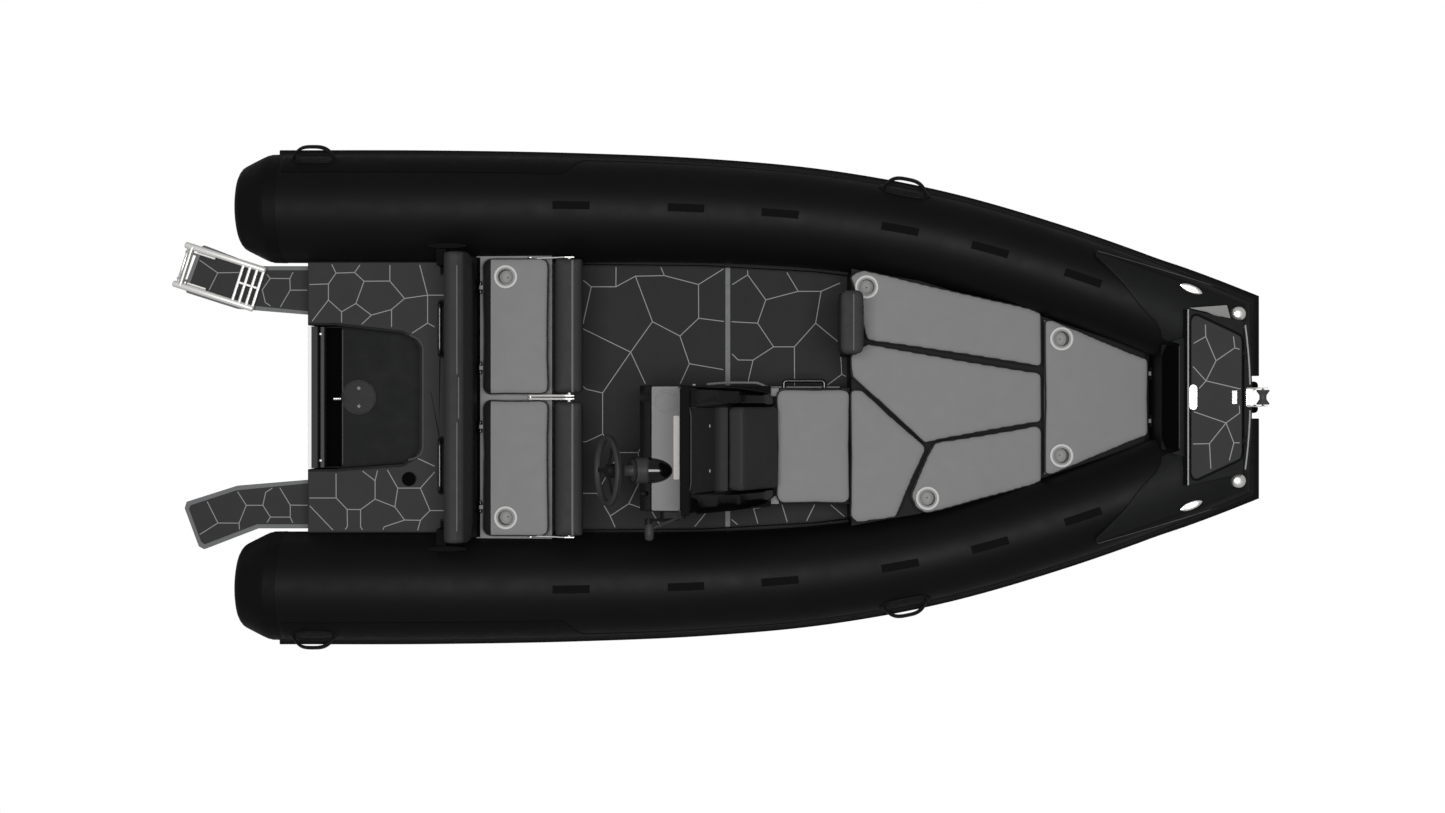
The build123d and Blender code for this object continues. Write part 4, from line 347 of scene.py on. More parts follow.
for name, node in nodes.items():
    node.data.materials.clear()
    node.data.materials.append(nodeMaterials.get(name, slotMaterials[slotOf[name]]))
    if name in roundNodes:
        continue
    # Moulded and milled edges are never razor sharp: weld the export's split corners, then round them
    weld = node.modifiers.new("weld", "WELD")
    weld.merge_threshold = softEdges["weld"]
    bevel = node.modifiers.new("roundEdges", "BEVEL")
    bevel.width = softEdges["bevel"]
    bevel.segments = softEdges["segments"]
    bevel.angle_limit = math.radians(softEdges["angle"])
    bevel.harden_normals = True
nodeTrees = {}
skyHeight = 3.0  # above the whole boat


def treeOf(mesh):
    # The mesh's faces in a search tree that rays can be cast at
    return BVHTree.FromPolygons([v.co.copy() for v in mesh.vertices], [tuple(p.vertices) for p in mesh.polygons])


def dropOn(names, xy, lift=0.0):
    # Points over those CAD nodes, each dropped onto the highest surface under it and raised by the lift
    made = []
    for x, y in xy:
        heights = []
        for name in names:
            if name not in nodeTrees:
                nodeTrees[name] = treeOf(nodes[name].data)
            hit = nodeTrees[name].ray_cast(Vector((x, y, skyHeight)), Vector((0, 0, -1)))[0]
            if hit is not None:
                heights.append(hit.z)
        if heights:
            made.append((x, y, max(heights) + lift))
    return np.array(made)


print("stage: materials")

# Mesh building: every part is a closed grid of sections
sharpAngle = 42.0  # degrees between two faces, past which their edge shades as a crease


def volumeOf(points, quads, tris):
    # Six times the signed volume under the faces, positive where the faces look outward
    total = 0.0
    for a, b, c in ((0, 1, 2), (0, 2, 3)):
        if len(quads):
            corner = points[quads[:, a]], points[quads[:, b]], points[quads[:, c]]
            total += np.sum(corner[0] * np.cross(corner[1], corner[2]))
    if len(tris):
        corner = points[tris[:, 0]], points[tris[:, 1]], points[tris[:, 2]]
        total += np.sum(corner[0] * np.cross(corner[1], corner[2]))
    return total


def gridPart(rows, caps=True, looped=False):
    # Sections (count, around, 3) skinned with quads; ends closed by a fan, or joined round if looped
    rows = np.asarray(rows, float)
    count, around = rows.shape[:2]
    index = np.arange(count * around).reshape(count, around)
    low = index if looped else index[:-1]
    high = np.roll(index, -1, axis=0) if looped else index[1:]
    quads = np.stack([low, np.roll(low, -1, axis=1), np.roll(high, -1, axis=1), high], axis=-1).reshape(-1, 4)
    points = rows.reshape(-1, 3)
    tris = np.zeros((0, 3), int)
    if caps and not looped:
        points = np.concatenate([points, rows[:1].mean(axis=1), rows[-1:].mean(axis=1)])
        first, last = index[0], index[-1]
        firstFan = np.stack([np.roll(first, -1), first, np.full(around, count * around)], axis=-1)
        lastFan = np.stack([last, np.roll(last, -1), np.full(around, count * around + 1)], axis=-1)
        tris = np.concatenate([firstFan, lastFan])
    if volumeOf(points - points.mean(axis=0), quads, tris) < 0:
        quads, tris = quads[:, ::-1], tris[:, ::-1]
    return points, quads, tris


def mirrorPart(part):
    # The same part on the other side of the centre line, its faces turned so they still look outward
    points, quads, tris = part
    return points * (1, -1, 1), quads[:, ::-1], tris[:, ::-1]


def buildPiece(name, parts, material, body, smooth=True):
    # One object from its parts, riding on its body
    points, faces, offset = [], [], 0
    for part in parts:
        points.append(part[0])
        faces += (part[1] + offset).tolist() + (part[2] + offset).tolist()
        offset += len(part[0])
    mesh = bpy.data.meshes.new(name)
    mesh.from_pydata(np.concatenate(points).tolist(), [], faces)
    mesh.polygons.foreach_set("use_smooth", np.full(len(mesh.polygons), smooth))
    if smooth:
        mesh.set_sharp_from_angle(angle=math.radians(sharpAngle))
    mesh.materials.append(material)
    piece = bpy.data.objects.new(name, mesh)
    scene.collection.objects.link(piece)
    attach(piece, body)
    return piece


def unit(vectors):
    # Each vector divided by its own length
    return vectors / np.linalg.norm(vectors, axis=-1, keepdims=True)


def sweepPart(path, section, side, looped=False, caps=True):
    # Section points (across, lift) carried along a path; side is the fixed direction square to the path's bends
    path = np.asarray(path, float)
    section = np.asarray(section, float)
    if looped:
        step = unit(path - np.roll(path, 1, axis=0))
        nextStep = unit(np.roll(path, -1, axis=0) - path)
    else:
        legs = unit(np.diff(path, axis=0))
        step = np.concatenate([legs[:1], legs])
        nextStep = np.concatenate([legs, legs[-1:]])
    ahead = unit(step + nextStep)
    side = np.broadcast_to(np.asarray(side, float), path.shape)
    normal = unit(np.cross(side, ahead))
    across = np.cross(ahead, normal)
    # Mitre: the section is stretched square to a bend so the strip keeps its width
    stretch = 1 / np.clip(np.sum(ahead * step, axis=1), 0.5, 1)
    rows = (path[:, None] + section[None, :, :1] * across[:, None]
            + section[None, :, 1:] * normal[:, None] * stretch[:, None, None])
    return gridPart(rows, caps=caps, looped=looped)


def circleSection(radius, count=12):
    # A circle as radius times (cosine, sine) of evenly spaced angles
    angle = np.linspace(0, 2 * np.pi, count, endpoint=False)
    return np.stack([radius * np.cos(angle), radius * np.sin(angle)], axis=-1)


def roundSection(width, height, power=4.0, count=20):
    # Rounded rectangle as a superellipse of that power
    angle = np.linspace(0, 2 * np.pi, count, endpoint=False)
    cosine, sine = np.cos(angle), np.sin(angle)
    return np.stack([width / 2 * np.sign(cosine) * np.abs(cosine) ** (2 / power),
                     height / 2 * np.sign(sine) * np.abs(sine) ** (2 / power)], axis=-1)


def roundedPath(points, radius, steps=6, closed=False):
    # A polyline whose corners are arcs, made as quadratic curves between the tangent points
    points = np.asarray(points, float)
    count = len(points)
    made = []
    for at in range(count):
        if not closed and at in (0, count - 1):
            made.append(points[at][None])
            continue
        here = points[at]
        toBefore = points[at - 1] - here
        toAfter = points[(at + 1) % count] - here
        reach = min(radius, np.linalg.norm(toBefore) * 0.45, np.linalg.norm(toAfter) * 0.45)
        start = here + unit(toBefore) * reach
        end = here + unit(toAfter) * reach
        share = np.linspace(0, 1, steps)[:, None]
        made.append((1 - share) ** 2 * start + 2 * share * (1 - share) * here + share ** 2 * end)
    return np.concatenate(made)


def turnedPart(profile, centre, axis, count=48):
    # Profile points (along the axis, radius) turned round an axis through centre
    profile = np.asarray(profile, float)
    axis = unit(np.asarray(axis, float))
    helper = np.array([0, 0, 1.0]) if abs(axis[2]) < 0.9 else np.array([1.0, 0, 0])
    first = unit(np.cross(helper, axis))
    second = np.cross(axis, first)
    angle = np.linspace(0, 2 * np.pi, count, endpoint=False)
    ring = np.cos(angle)[:, None] * first + np.sin(angle)[:, None] * second
    rows = (np.asarray(centre, float) + profile[:, :1, None] * axis + profile[:, 1:, None] * ring[None])
    return gridPart(rows)


def boxPart(low, high):
    # A box between its two opposite corners, as its rim at two heights
    low, high = np.asarray(low, float), np.asarray(high, float)
    ring = np.array([[low[0], low[1]], [high[0], low[1]], [high[0], high[1]], [low[0], high[1]]])
    rows = [np.concatenate([ring, np.full((4, 1), z)], axis=1) for z in (low[2], high[2])]
    return gridPart(rows)


# Side tubes: centre line and radius rows of the port tube, metres, aft to the bow corner
tubeRows = np.array([
    [-2.290, 0.977, 0.330, 0.280], [-1.500, 0.976, 0.330, 0.280], [-0.740, 0.971, 0.330, 0.271],
    [-0.100, 0.954, 0.346, 0.258], [0.480, 0.909, 0.389, 0.245], [1.060, 0.812, 0.449, 0.231],
    [1.640, 0.647, 0.523, 0.222], [2.220, 0.430, 0.607, 0.220], [2.438, 0.336, 0.640, 0.220],
])
tubeChord = np.concatenate([[0], np.cumsum(np.linalg.norm(np.diff(tubeRows[:, :3], axis=0), axis=1))])
tubeSlope = np.gradient(tubeRows, tubeChord, axis=0)
tubeLast = unit(tubeRows[-1, :3] - tubeRows[-2, :3])
mitreNormal = unit(tubeLast + np.array([0, -1.0, 0]))
tubeEnd = tubeChord[-1]


def tubeFrame(at):
    # Cubic through the rows: each span blends the values and slopes of its two ends
    at = np.atleast_1d(np.asarray(at, float))
    span = np.clip(np.searchsorted(tubeChord, at, side="right") - 1, 0, len(tubeChord) - 2)
    width = (tubeChord[span + 1] - tubeChord[span])[:, None]
    t = (at - tubeChord[span])[:, None] / width
    a, b, slopeA, slopeB = tubeRows[span], tubeRows[span + 1], tubeSlope[span], tubeSlope[span + 1]
    value = ((2 * t ** 3 - 3 * t ** 2 + 1) * a + (t ** 3 - 2 * t ** 2 + t) * width * slopeA
             + (3 * t ** 2 - 2 * t ** 3) * b + (t ** 3 - t ** 2) * width * slopeB)
    rate = ((6 * t ** 2 - 6 * t) / width * a + (3 * t ** 2 - 4 * t + 1) * slopeA
            + (6 * t - 6 * t ** 2) / width * b + (3 * t ** 2 - 2 * t) * slopeB)
    tangent = unit(rate[:, :3])
    # Toward the corner the section turns from square to the mitre plane and widens to stay a cylinder's cut
    turn = np.clip((at - tubeChord[-2]) / (tubeChord[-1] - tubeChord[-2]), 0, 1)[:, None]
    ahead = unit(tangent * (1 - turn) + mitreNormal * turn)
    across = unit(np.cross([0, 0, 1.0], ahead))
    up = np.cross(ahead, across)
    widen = 1 / np.sum(tangent * ahead, axis=1)
    return value[:, :3], across, up, value[:, 3], widen


def onTube(at, angle, lift=0.0):
    # Point on the port tube: angle from outboard over the top, lift above the skin
    centre, across, up, radius, widen = tubeFrame(at)
    angle = np.atleast_2d(angle)
    reach = radius[:, None] + lift
    return (centre[:, None] + (reach * np.cos(angle) * widen[:, None])[..., None] * across[:, None]
            + (reach * np.sin(angle))[..., None] * up[:, None])


def tubeAt(x):
    # Distance along the centre line at that x
    fine = np.linspace(0, tubeEnd, 600)
    return np.interp(x, tubeFrame(fine)[0][:, 0], fine)


tubeGrid = {"along": 150, "around": 72, "bow": 9}
fullTurn = np.linspace(0, 2 * np.pi, tubeGrid["around"], endpoint=False)
sideSkin = gridPart(onTube(np.linspace(0, tubeEnd, tubeGrid["along"]), fullTurn))
portSkin = buildPiece("portTubeSkin", [sideSkin], tubeFabric, "boat")
starboardSkin = buildPiece("starboardTubeSkin", [mirrorPart(sideSkin)], tubeFabric, "boat")
mitreRing = onTube([tubeEnd], fullTurn)[0]
bowShare = np.linspace(0, 1, tubeGrid["bow"])[:, None, None]
bowRows = mitreRing[None] * (1 - bowShare) + (mitreRing * (1, -1, 1))[None] * bowShare
bowSkin = buildPiece("bowTubeSkin", [gridPart(bowRows)], tubeFabric, "boat")
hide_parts("port_tube")
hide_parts("starboard_tube")
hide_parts("bow_tube")

# End cones: a straight taper with a softened shoulder, closed by a blunt, slightly domed cap
coneProfile = np.array([
    [-2.288, 0.280], [-2.318, 0.2795], [-2.342, 0.2755], [-2.370, 0.263], [-2.410, 0.2430], [-2.455, 0.2200],
    [-2.468, 0.211], [-2.479, 0.198], [-2.487, 0.183], [-2.492, 0.165], [-2.497, 0.140], [-2.501, 0.105],
    [-2.504, 0.060], [-2.505, 0.008],
])
coneAxis = (0, tubeRows[0, 1], tubeRows[0, 2])  # the tube's own axis at its aft end
conePart = turnedPart(coneProfile, coneAxis, (1, 0, 0), count=tubeGrid["around"])
coneSkin = buildPiece("endCones", [conePart, mirrorPart(conePart)], tapeFabric, "boat")
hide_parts("tube_end_cones")


def shellPart(at, lowAngle, highAngle, lift, count=14, sunk=0.003):
    # A thin patch lying on the tube between two angles, its back sunk under the skin
    share = np.linspace(0, 1, count)
    angle = np.asarray(lowAngle)[..., None] * (1 - share) + np.asarray(highAngle)[..., None] * share
    angle = np.broadcast_to(angle, (len(at), count))
    top = onTube(at, angle, lift)
    back = onTube(at, angle[:, ::-1], -sunk)
    return gridPart(np.concatenate([top, back], axis=1))


# Seam tape over the joint of each end cone
coneSeam = turnedPart([[-2.325, 0.2745], [-2.323, 0.2802], [-2.262, 0.2815], [-2.260, 0.2780]],
                      coneAxis, (1, 0, 0), count=tubeGrid["around"])
buildPiece("seamTapes", [coneSeam, mirrorPart(coneSeam)], tapeFabric, "boat")

# Outer doubler: wide over the aft shoulder, then an S step down to a narrow band above the strake
doubler = {"aftEnd": -2.24, "wideEnd": -0.822, "narrowStart": -0.70, "bowEnd": 2.4, "bowGap": 0.02, "lift": 0.0026,
           "lowAngle": 5.0, "wideAngle": 53.0, "narrowAngle": 25.0, "bowAngle": 17.0}
at = np.linspace(tubeAt(doubler["aftEnd"]), tubeEnd - doubler["bowGap"], 170)
x = tubeFrame(at)[0][:, 0]
step = np.clip((x - doubler["wideEnd"]) / (doubler["narrowStart"] - doubler["wideEnd"]), 0, 1)
step = step ** 2 * (3 - 2 * step)
narrow = np.interp(x, [doubler["narrowStart"], doubler["bowEnd"]], [doubler["narrowAngle"], doubler["bowAngle"]])
border = np.radians(doubler["wideAngle"] * (1 - step) + narrow * step)
doublerPart = shellPart(at, np.full(len(at), math.radians(doubler["lowAngle"])), border, doubler["lift"])
buildPiece("tubeDoublers", [doublerPart, mirrorPart(doublerPart)], tapeFabric, "boat")

# Grip patches along the top of each tube
gripPatch = {"length": 0.190, "width": 0.040, "lift": 0.0022, "x": (-0.764, -0.182, 0.293, 0.895, 1.341, 1.796)}
gripParts = []
fineAt = np.linspace(0, tubeEnd, 600)
topLine = onTube(fineAt, np.full((600, 1), math.pi / 2))[:, 0, 0]
for x in gripPatch["x"]:
    middle = float(np.interp(x, topLine, fineAt))
    at = middle + gripPatch["length"] * np.linspace(-0.5, 0.5, 12)
    half = gripPatch["width"] / 2 / float(tubeFrame(middle)[3][0])
    top = math.pi / 2
    gripParts.append(shellPart(at, np.full(12, top - half), np.full(12, top + half), gripPatch["lift"], count=6))
buildPiece("gripPatches", gripParts + [mirrorPart(part) for part in gripParts], gripRubber, "boat")

# Rubbing strake: three rounded ridges on a flat band, run along each tube and round the snub bow to its notch
strake = {"half": 0.034, "base": 0.013, "ridge": 0.010, "edge": 0.004, "notch": 0.107, "swell": 0.018,
          "swellRun": 0.40}
height = np.linspace(-1, 1, 37)
bulge = strake["base"] + strake["ridge"] * np.abs(np.cos(1.5 * np.pi * height)) ** 0.55
bulge[[0, -1]] = strake["edge"]
backHeight = np.array([1.0, 0.0, -1.0])
outward = np.concatenate([bulge, np.full(3, -strake["edge"])])
tangential = np.concatenate([height, backHeight]) * strake["half"]
at = np.linspace(0.0, tubeEnd, 150)
centre, across, up, radius, widen = tubeFrame(at)
# The band swells toward the bow, where it takes the knocks
swell = np.clip((at - (tubeEnd - strake["swellRun"])) / strake["swellRun"], 0, 1)[:, None]
swell = strake["swell"] * swell ** 2 * (3 - 2 * swell) * (outward > strake["edge"] + 0.001)[None]
reach = (radius[:, None] + outward[None] + swell) * widen[:, None]
sideRows = centre[:, None] + reach[..., None] * across[:, None] + tangential[None, :, None] * up[:, None]
bowEnd = tubeRows[-1]
frontRow = np.stack([bowEnd[0] + bowEnd[3] + outward + swell[-1], np.full(len(outward), strake["notch"]),
                     bowEnd[2] + tangential], axis=-1)
strakePart = gridPart(np.concatenate([sideRows, frontRow[None]]))
strakeBand = buildPiece("strakeBand", [strakePart, mirrorPart(strakePart)], strakeRubber, "boat")
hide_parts("rubbing_strake")

# Carry handles: an oval base moulded to the tube and a bowed strap over it
handle = {"x": (-2.091, 0.905), "length": 0.262, "width": 0.104, "reach": 0.066, "shoulder": 29.0,
          "strapHalf": 0.105, "strapWide": 0.036, "strapThick": 0.012, "waist": 0.22}


def onTubePoints(at, angle, lift):
    # Points on the port tube, one for each distance, angle and lift
    centre, across, up, radius, widen = tubeFrame(at)
    reach = (radius + lift)[:, None]
    return (centre + reach * np.cos(angle)[:, None] * widen[:, None] * across
            + reach * np.sin(angle)[:, None] * up)


def onHandle(x, along, around, lift):
    # Points round the handle at that x: metres along the tube, metres round it, lift above it
    middle = float(tubeAt(x))
    radiusHere = float(tubeFrame(middle)[3][0])
    along, around, lift = np.broadcast_arrays(along, around, lift)
    angle = math.radians(handle["shoulder"]) + around.ravel() / radiusHere
    return onTubePoints(middle + along.ravel(), angle, lift.ravel()).reshape(*along.shape, 3)


handleParts = []
for x in handle["x"]:
    turn = np.linspace(0, 2 * np.pi, 56, endpoint=False)
    ringSize = np.array([0.05, 0.5, 0.72, 0.80, 0.86, 0.95, 1.0, 1.0, 0.05])[:, None]
    ringLift = np.array([0.003, 0.003, 0.003, 0.005, 0.0075, 0.006, 0.002, -0.004, -0.004])[:, None]
    power = 2 / 2.6
    alongRing = handle["length"] / 2 * ringSize * np.sign(np.cos(turn)) * np.abs(np.cos(turn)) ** power
    aroundRing = handle["width"] / 2 * ringSize * np.sign(np.sin(turn)) * np.abs(np.sin(turn)) ** power
    handleParts.append(gridPart(onHandle(x, alongRing, aroundRing, ringLift)))
    share = np.linspace(-1, 1, 33)
    spine = handle["reach"] * (1 - np.abs(share) ** 3.2) ** 0.8
    along = share * handle["strapHalf"]
    slope = np.gradient(spine, along)
    lengthen = np.sqrt(1 + slope ** 2)
    section = roundSection(handle["strapWide"], handle["strapThick"], 3.0)
    narrowing = 1 - handle["waist"] * (1 - share ** 2)
    around = section[None, :, 0] * narrowing[:, None]
    alongRow = along[:, None] - section[None, :, 1] * (slope / lengthen)[:, None]
    liftRow = spine[:, None] + section[None, :, 1] / lengthen[:, None]
    handleParts.append(gridPart(onHandle(x, alongRow, around, np.maximum(liftRow, -0.002))))
handles = buildPiece("carryHandlesMoulded", handleParts + [mirrorPart(part) for part in handleParts],
                     strakeRubber, "boat")
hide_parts("carry_handles")
print("stage: tubes")

# Foam decking lines: the listed bends of each line, millimetres, over each pad's top
padTops = {"floor": 0.158, "aftDeck": 0.388, "platform": 0.198, "foredeck": 0.963}
foamLines = {
    "floor": [
        [(-732, 617), (-690, 583), (-560, 583), (-559, 702)], [(-690, 583), (-733, 388)],
        [(-560, 583), (-457, 639), (-304, 642), (-328, 699)], [(-304, 642), (-124, 595), (20, 685)],
        [(-124, 595), (-123, 417), (18, 399)], [(-123, 417), (-222, 323), (-367, 399), (-457, 639)],
        [(-367, 399), (-482, 238), (-733, 361)], [(-482, 238), (-405, 72)], [(-482, 238), (-630, 23)],
        [(-630, 23), (-716, 42), (-733, 57)], [(-222, 323), (-172, 177), (18, 144)], [(-172, 177), (-220, 72)],
        [(-630, 23), (-630, -194), (-716, -234), (-735, -236)],
        [(-630, -194), (-541, -292), (-443, -292), (-431, -270)], [(-541, -292), (-661, -507), (-735, -507)],
        [(-661, -507), (-590, -627), (-555, -706)], [(-590, -627), (-492, -562), (-421, -586)],
        [(-492, -562), (-440, -455)], [(-443, -292), (-440, -311)], [(-372, -600), (-310, -703)],
        [(-83, -608), (-160, -703)],
        [(44, 588), (136, 646), (135, 684)], [(136, 646), (231, 514), (402, 559), (336, 669)],
        [(402, 559), (523, 559), (623, 603)], [(523, 559), (494, 391), (623, 284)],
        [(494, 391), (382, 266), (272, 266), (188, 391), (231, 514)], [(188, 391), (44, 399)],
        [(272, 266), (164, 196), (85, 197), (44, 238)], [(164, 196), (138, 85)], [(382, 266), (383, 57)],
        [(623, 284), (632, 121), (557, 65)], [(632, 121), (725, 72)], [(46, -641), (107, -694)],
        [(163, -574), (195, -687)], [(317, -567), (351, -681)], [(489, -567), (437, -671)],
        [(573, -567), (655, -637)],
    ],
    "aftDeck": [
        [(-2130, 582), (-2032, 585), (-1993, 641), (-2032, 722)], [(-1993, 641), (-1897, 644), (-1844, 719)],
        [(-1897, 644), (-1848, 599), (-1715, 600), (-1714, 719)],
        [(-1848, 599), (-1890, 484), (-1964, 441), (-2032, 502), (-2032, 585)], [(-2032, 502), (-2119, 389)],
        [(-1964, 441), (-1964, 370)], [(-1890, 484), (-1810, 424), (-1879, 359)],
        [(-1810, 424), (-1706, 453), (-1706, 337)], [(-1706, 453), (-1639, 510), (-1715, 600)],
        [(-1639, 510), (-1520, 527), (-1570, 719)], [(-1520, 527), (-1438, 527)],
        [(-1520, 527), (-1520, 383), (-1611, 324)], [(-1520, 383), (-1484, 363)],
        [(-1993, -376), (-1992, -520), (-2130, -520)],
        [(-1992, -520), (-1935, -579), (-1866, -580), (-1791, -526), (-1791, -431), (-1882, -361)],
        [(-1791, -431), (-1772, -350)], [(-1935, -579), (-1934, -667), (-1972, -724), (-2128, -561)],
        [(-1866, -580), (-1866, -669), (-1828, -724)],
        [(-1791, -526), (-1689, -566), (-1674, -469), (-1557, -469), (-1484, -386)], [(-1674, -469), (-1745, -345)],
        [(-1557, -469), (-1508, -585), (-1438, -585)], [(-1508, -585), (-1557, -635), (-1639, -634), (-1689, -566)],
        [(-1639, -634), (-1744, -669), (-1767, -722)], [(-1557, -635), (-1580, -719)], [(-1575, -314), (-1484, -356)],
    ],
    "platform": [
        [(-2715, -532), (-2650, -661), (-2764, -733)], [(-2650, -661), (-2539, -662), (-2535, -726)],
        [(-2539, -662), (-2501, -568), (-2560, -476)],
        [(-2501, -568), (-2414, -568), (-2399, -500), (-2335, -459), (-2270, -567), (-2176, -568)],
        [(-2270, -567), (-2270, -630), (-2243, -690)], [(-2270, -630), (-2374, -630), (-2413, -690)],
        [(-2374, -630), (-2414, -568)],
        [(-2761, 731), (-2651, 654), (-2697, 562)], [(-2651, 654), (-2538, 656)],
        [(-2393, 646), (-2375, 625), (-2272, 624), (-2241, 685)], [(-2272, 624), (-2270, 563), (-2180, 563)],
        [(-2270, 563), (-2334, 454), (-2401, 498), (-2417, 565), (-2375, 625)],
    ],
    "foredeck": [
        [(2357, 354), (2359, 296), (2287, 256)], [(2359, 296), (2409, 178), (2501, 241), (2494, 296)],
        [(2501, 241), (2529, 232)], [(2409, 178), (2360, 80), (2285, 163)], [(2360, 80), (2526, 41), (2536, 78)],
        [(2360, 80), (2327, 43)], [(2290, -67), (2458, -125), (2525, -76), (2522, -41)],
        [(2525, -76), (2538, -82)], [(2458, -125), (2377, -226), (2287, -228)], [(2377, -226), (2384, -348)],
        [(2458, -125), (2496, -222), (2532, -222)], [(2496, -222), (2474, -308)],
    ],
}
lineWork = {"width": 0.0042, "rise": 0.0006, "stagger": 0.00004, "step": 0.006, "inset": 0.006, "level": 0.002}
padTrees = {name: treeOf(nodes[name].data) for name in ("deck_pads", "anchor_lid_pad")}


def onPad(tree, point, top):
    # True where the pad's top lies right under the point and a little way to all four sides of it
    for dx, dy in ((1, 0), (-1, 0), (0, 1), (0, -1)):
        start = Vector((point[0] + dx * lineWork["inset"], point[1] + dy * lineWork["inset"], top + 0.02))
        hit = tree.ray_cast(start, Vector((0, 0, -1)), 0.03)[0]
        if hit is None or abs(hit.z - top) > lineWork["level"]:
            return False
    return True


def lineParts(area, tree):
    # Each line sampled closely, kept where it lies on the pad, and swept as a low flat strip
    parts = []
    top = padTops[area]
    for number, bends in enumerate(foamLines[area]):
        bends = np.array(bends) / 1000
        run = np.concatenate([[0], np.cumsum(np.linalg.norm(np.diff(bends, axis=0), axis=1))])
        at = np.union1d(np.arange(0, run[-1], lineWork["step"]), run)
        xy = np.stack([np.interp(at, run, bends[:, 0]), np.interp(at, run, bends[:, 1])], axis=-1)
        keep = np.array([onPad(tree, point, top) for point in xy])
        edges = np.flatnonzero(np.diff(np.concatenate([[False], keep, [False]]).astype(int)))
        # Neighbouring strips differ a little in height, so no two tops share a plane where they cross
        rise = lineWork["rise"] + lineWork["stagger"] * (number % 9)
        section = np.array([[-0.5, -1], [0.5, -1], [0.5, 1], [-0.5, 1]])
        section = section * (lineWork["width"], rise)
        for start, end in edges.reshape(-1, 2):
            if end - start < 3:
                continue
            path = np.concatenate([xy[start:end], np.full((end - start, 1), top)], axis=1)
            legs = unit(np.diff(path, axis=0))
            ahead = unit(np.concatenate([legs[:1], legs]) + np.concatenate([legs, legs[-1:]]))
            across = np.cross([0, 0, 1.0], ahead)
            stretch = 1 / np.clip(np.sum(ahead * np.concatenate([legs[:1], legs]), axis=1), 0.5, 1)
            rows = (path[:, None] + section[None, :, :1] * (across * stretch[:, None])[:, None]
                    + section[None, :, 1:] * np.array([0, 0, 1.0]))
            parts.append(gridPart(rows))
    return parts


deckLineParts = [part for area in ("floor", "aftDeck", "platform") for part in lineParts(area, padTrees["deck_pads"])]
buildPiece("deckLines", deckLineParts, foamLine, "boat", smooth=False)
buildPiece("anchorPadLines", lineParts("foredeck", padTrees["anchor_lid_pad"]), foamLine, "anchor_hatch",
           smooth=False)
print("stage: decking lines")

# Padded pieces: each starts as its CAD solid, is blown up a little by a cloth simulation, then gets its welts
padRows = [
    {"name": "benchPadPort", "node": "bench_cushion_port", "body": "bench_port", "cover": benchVinyl,
     "slot": "light_upholstery", "crown": 0.007, "grow": (0.006, 0.012), "cups": [(-1.1025, 0.614)]},
    {"name": "benchPadStarboard", "node": "bench_cushion_starboard", "body": "bench_starboard", "cover": benchVinyl,
     "slot": "light_upholstery", "crown": 0.007, "grow": (0.006, 0.012), "cups": [(-1.1025, -0.614)]},
    {"name": "bowPad", "node": "bow_cushions", "body": "boat", "cover": lightVinyl,
     "slot": "light_upholstery", "crown": 0.006, "grow": (0.006, 0.006), "cups": [(0.733, 0.559), (1.041, -0.512)]},
    {"name": "bowLockerPad", "node": "bow_locker_cushion", "body": "bow_lid", "cover": lightVinyl,
     "slot": "light_upholstery", "crown": 0.006, "grow": (0.006, 0.004), "cups": [(1.720, 0.296), (1.720, -0.296)]},
    {"name": "rearBackrestPad", "node": "rear_backrest", "body": "boat", "cover": rearVinyl,
     "slot": "dark_upholstery", "crown": 0.008, "cups": []},
    {"name": "bolsterPadPort", "node": "bolster_port", "body": "roll_port", "cover": darkVinyl,
     "slot": "dark_upholstery", "crown": 0.005, "cups": []},
    {"name": "bolsterPadStarboard", "node": "bolster_starboard", "body": "roll_starboard", "cover": darkVinyl,
     "slot": "dark_upholstery", "crown": 0.005, "cups": []},
    {"name": "consoleBackrestPad", "node": "console_backrest", "body": "boat", "cover": darkVinyl,
     "slot": "dark_upholstery", "crown": 0.007, "cups": []},
    {"name": "consoleSeatPad", "node": "console_seat", "body": "boat", "cover": lightVinyl,
     "slot": "light_upholstery", "crown": 0.007, "grow": (0.010, 0.008), "cups": []},
    {"name": "bowBackrestPad", "node": "bow_backrest", "body": "boat", "cover": darkVinyl,
     "slot": "dark_upholstery", "crown": 0.006, "cups": []},
]
padWork = {"voxel": 0.012, "inset": 0.0015, "pressure": 4.0, "mass": 0.4, "quality": 4, "frames": 20,
           "cupClear": (0.060, 0.078), "fill": 0.75, "underside": 0.0005}


def bakeMesh(piece):
    # The modifiers' result becomes the object's own mesh
    graph = bpy.context.evaluated_depsgraph_get()
    made = bpy.data.meshes.new_from_object(piece.evaluated_get(graph))
    piece.modifiers.clear()
    piece.data = made


def splitIslands(piece):
    # Separate objects for the solids of one node
    bpy.ops.object.select_all(action="DESELECT")
    piece.select_set(True)
    bpy.context.view_layer.objects.active = piece
    bpy.ops.mesh.separate(type="LOOSE")
    return sorted(bpy.context.selected_objects, key=lambda made: -sum(v.co.y for v in made.data.vertices)
                  / len(made.data.vertices))


def startPad(row):
    # A welded copy of the CAD solid, one object for each of its solids
    source = nodes[row["node"]]
    piece = bpy.data.objects.new(row["name"], source.data.copy())
    scene.collection.objects.link(piece)
    piece.modifiers.new("weld", "WELD").merge_threshold = softEdges["weld"]
    bakeMesh(piece)
    pieces = splitIslands(piece) if row["node"] == "bow_cushions" else [piece]
    for number, made in enumerate(pieces):
        made.name = row["name"] + ("ABCD"[number] if len(pieces) > 1 else "")
        made.data.name = made.name
    return pieces


def coordsOf(mesh):
    # The mesh's points as one array of rows
    flat = np.zeros(len(mesh.vertices) * 3, np.float32)
    mesh.vertices.foreach_get("co", flat)
    return flat.reshape(-1, 3).astype(float)


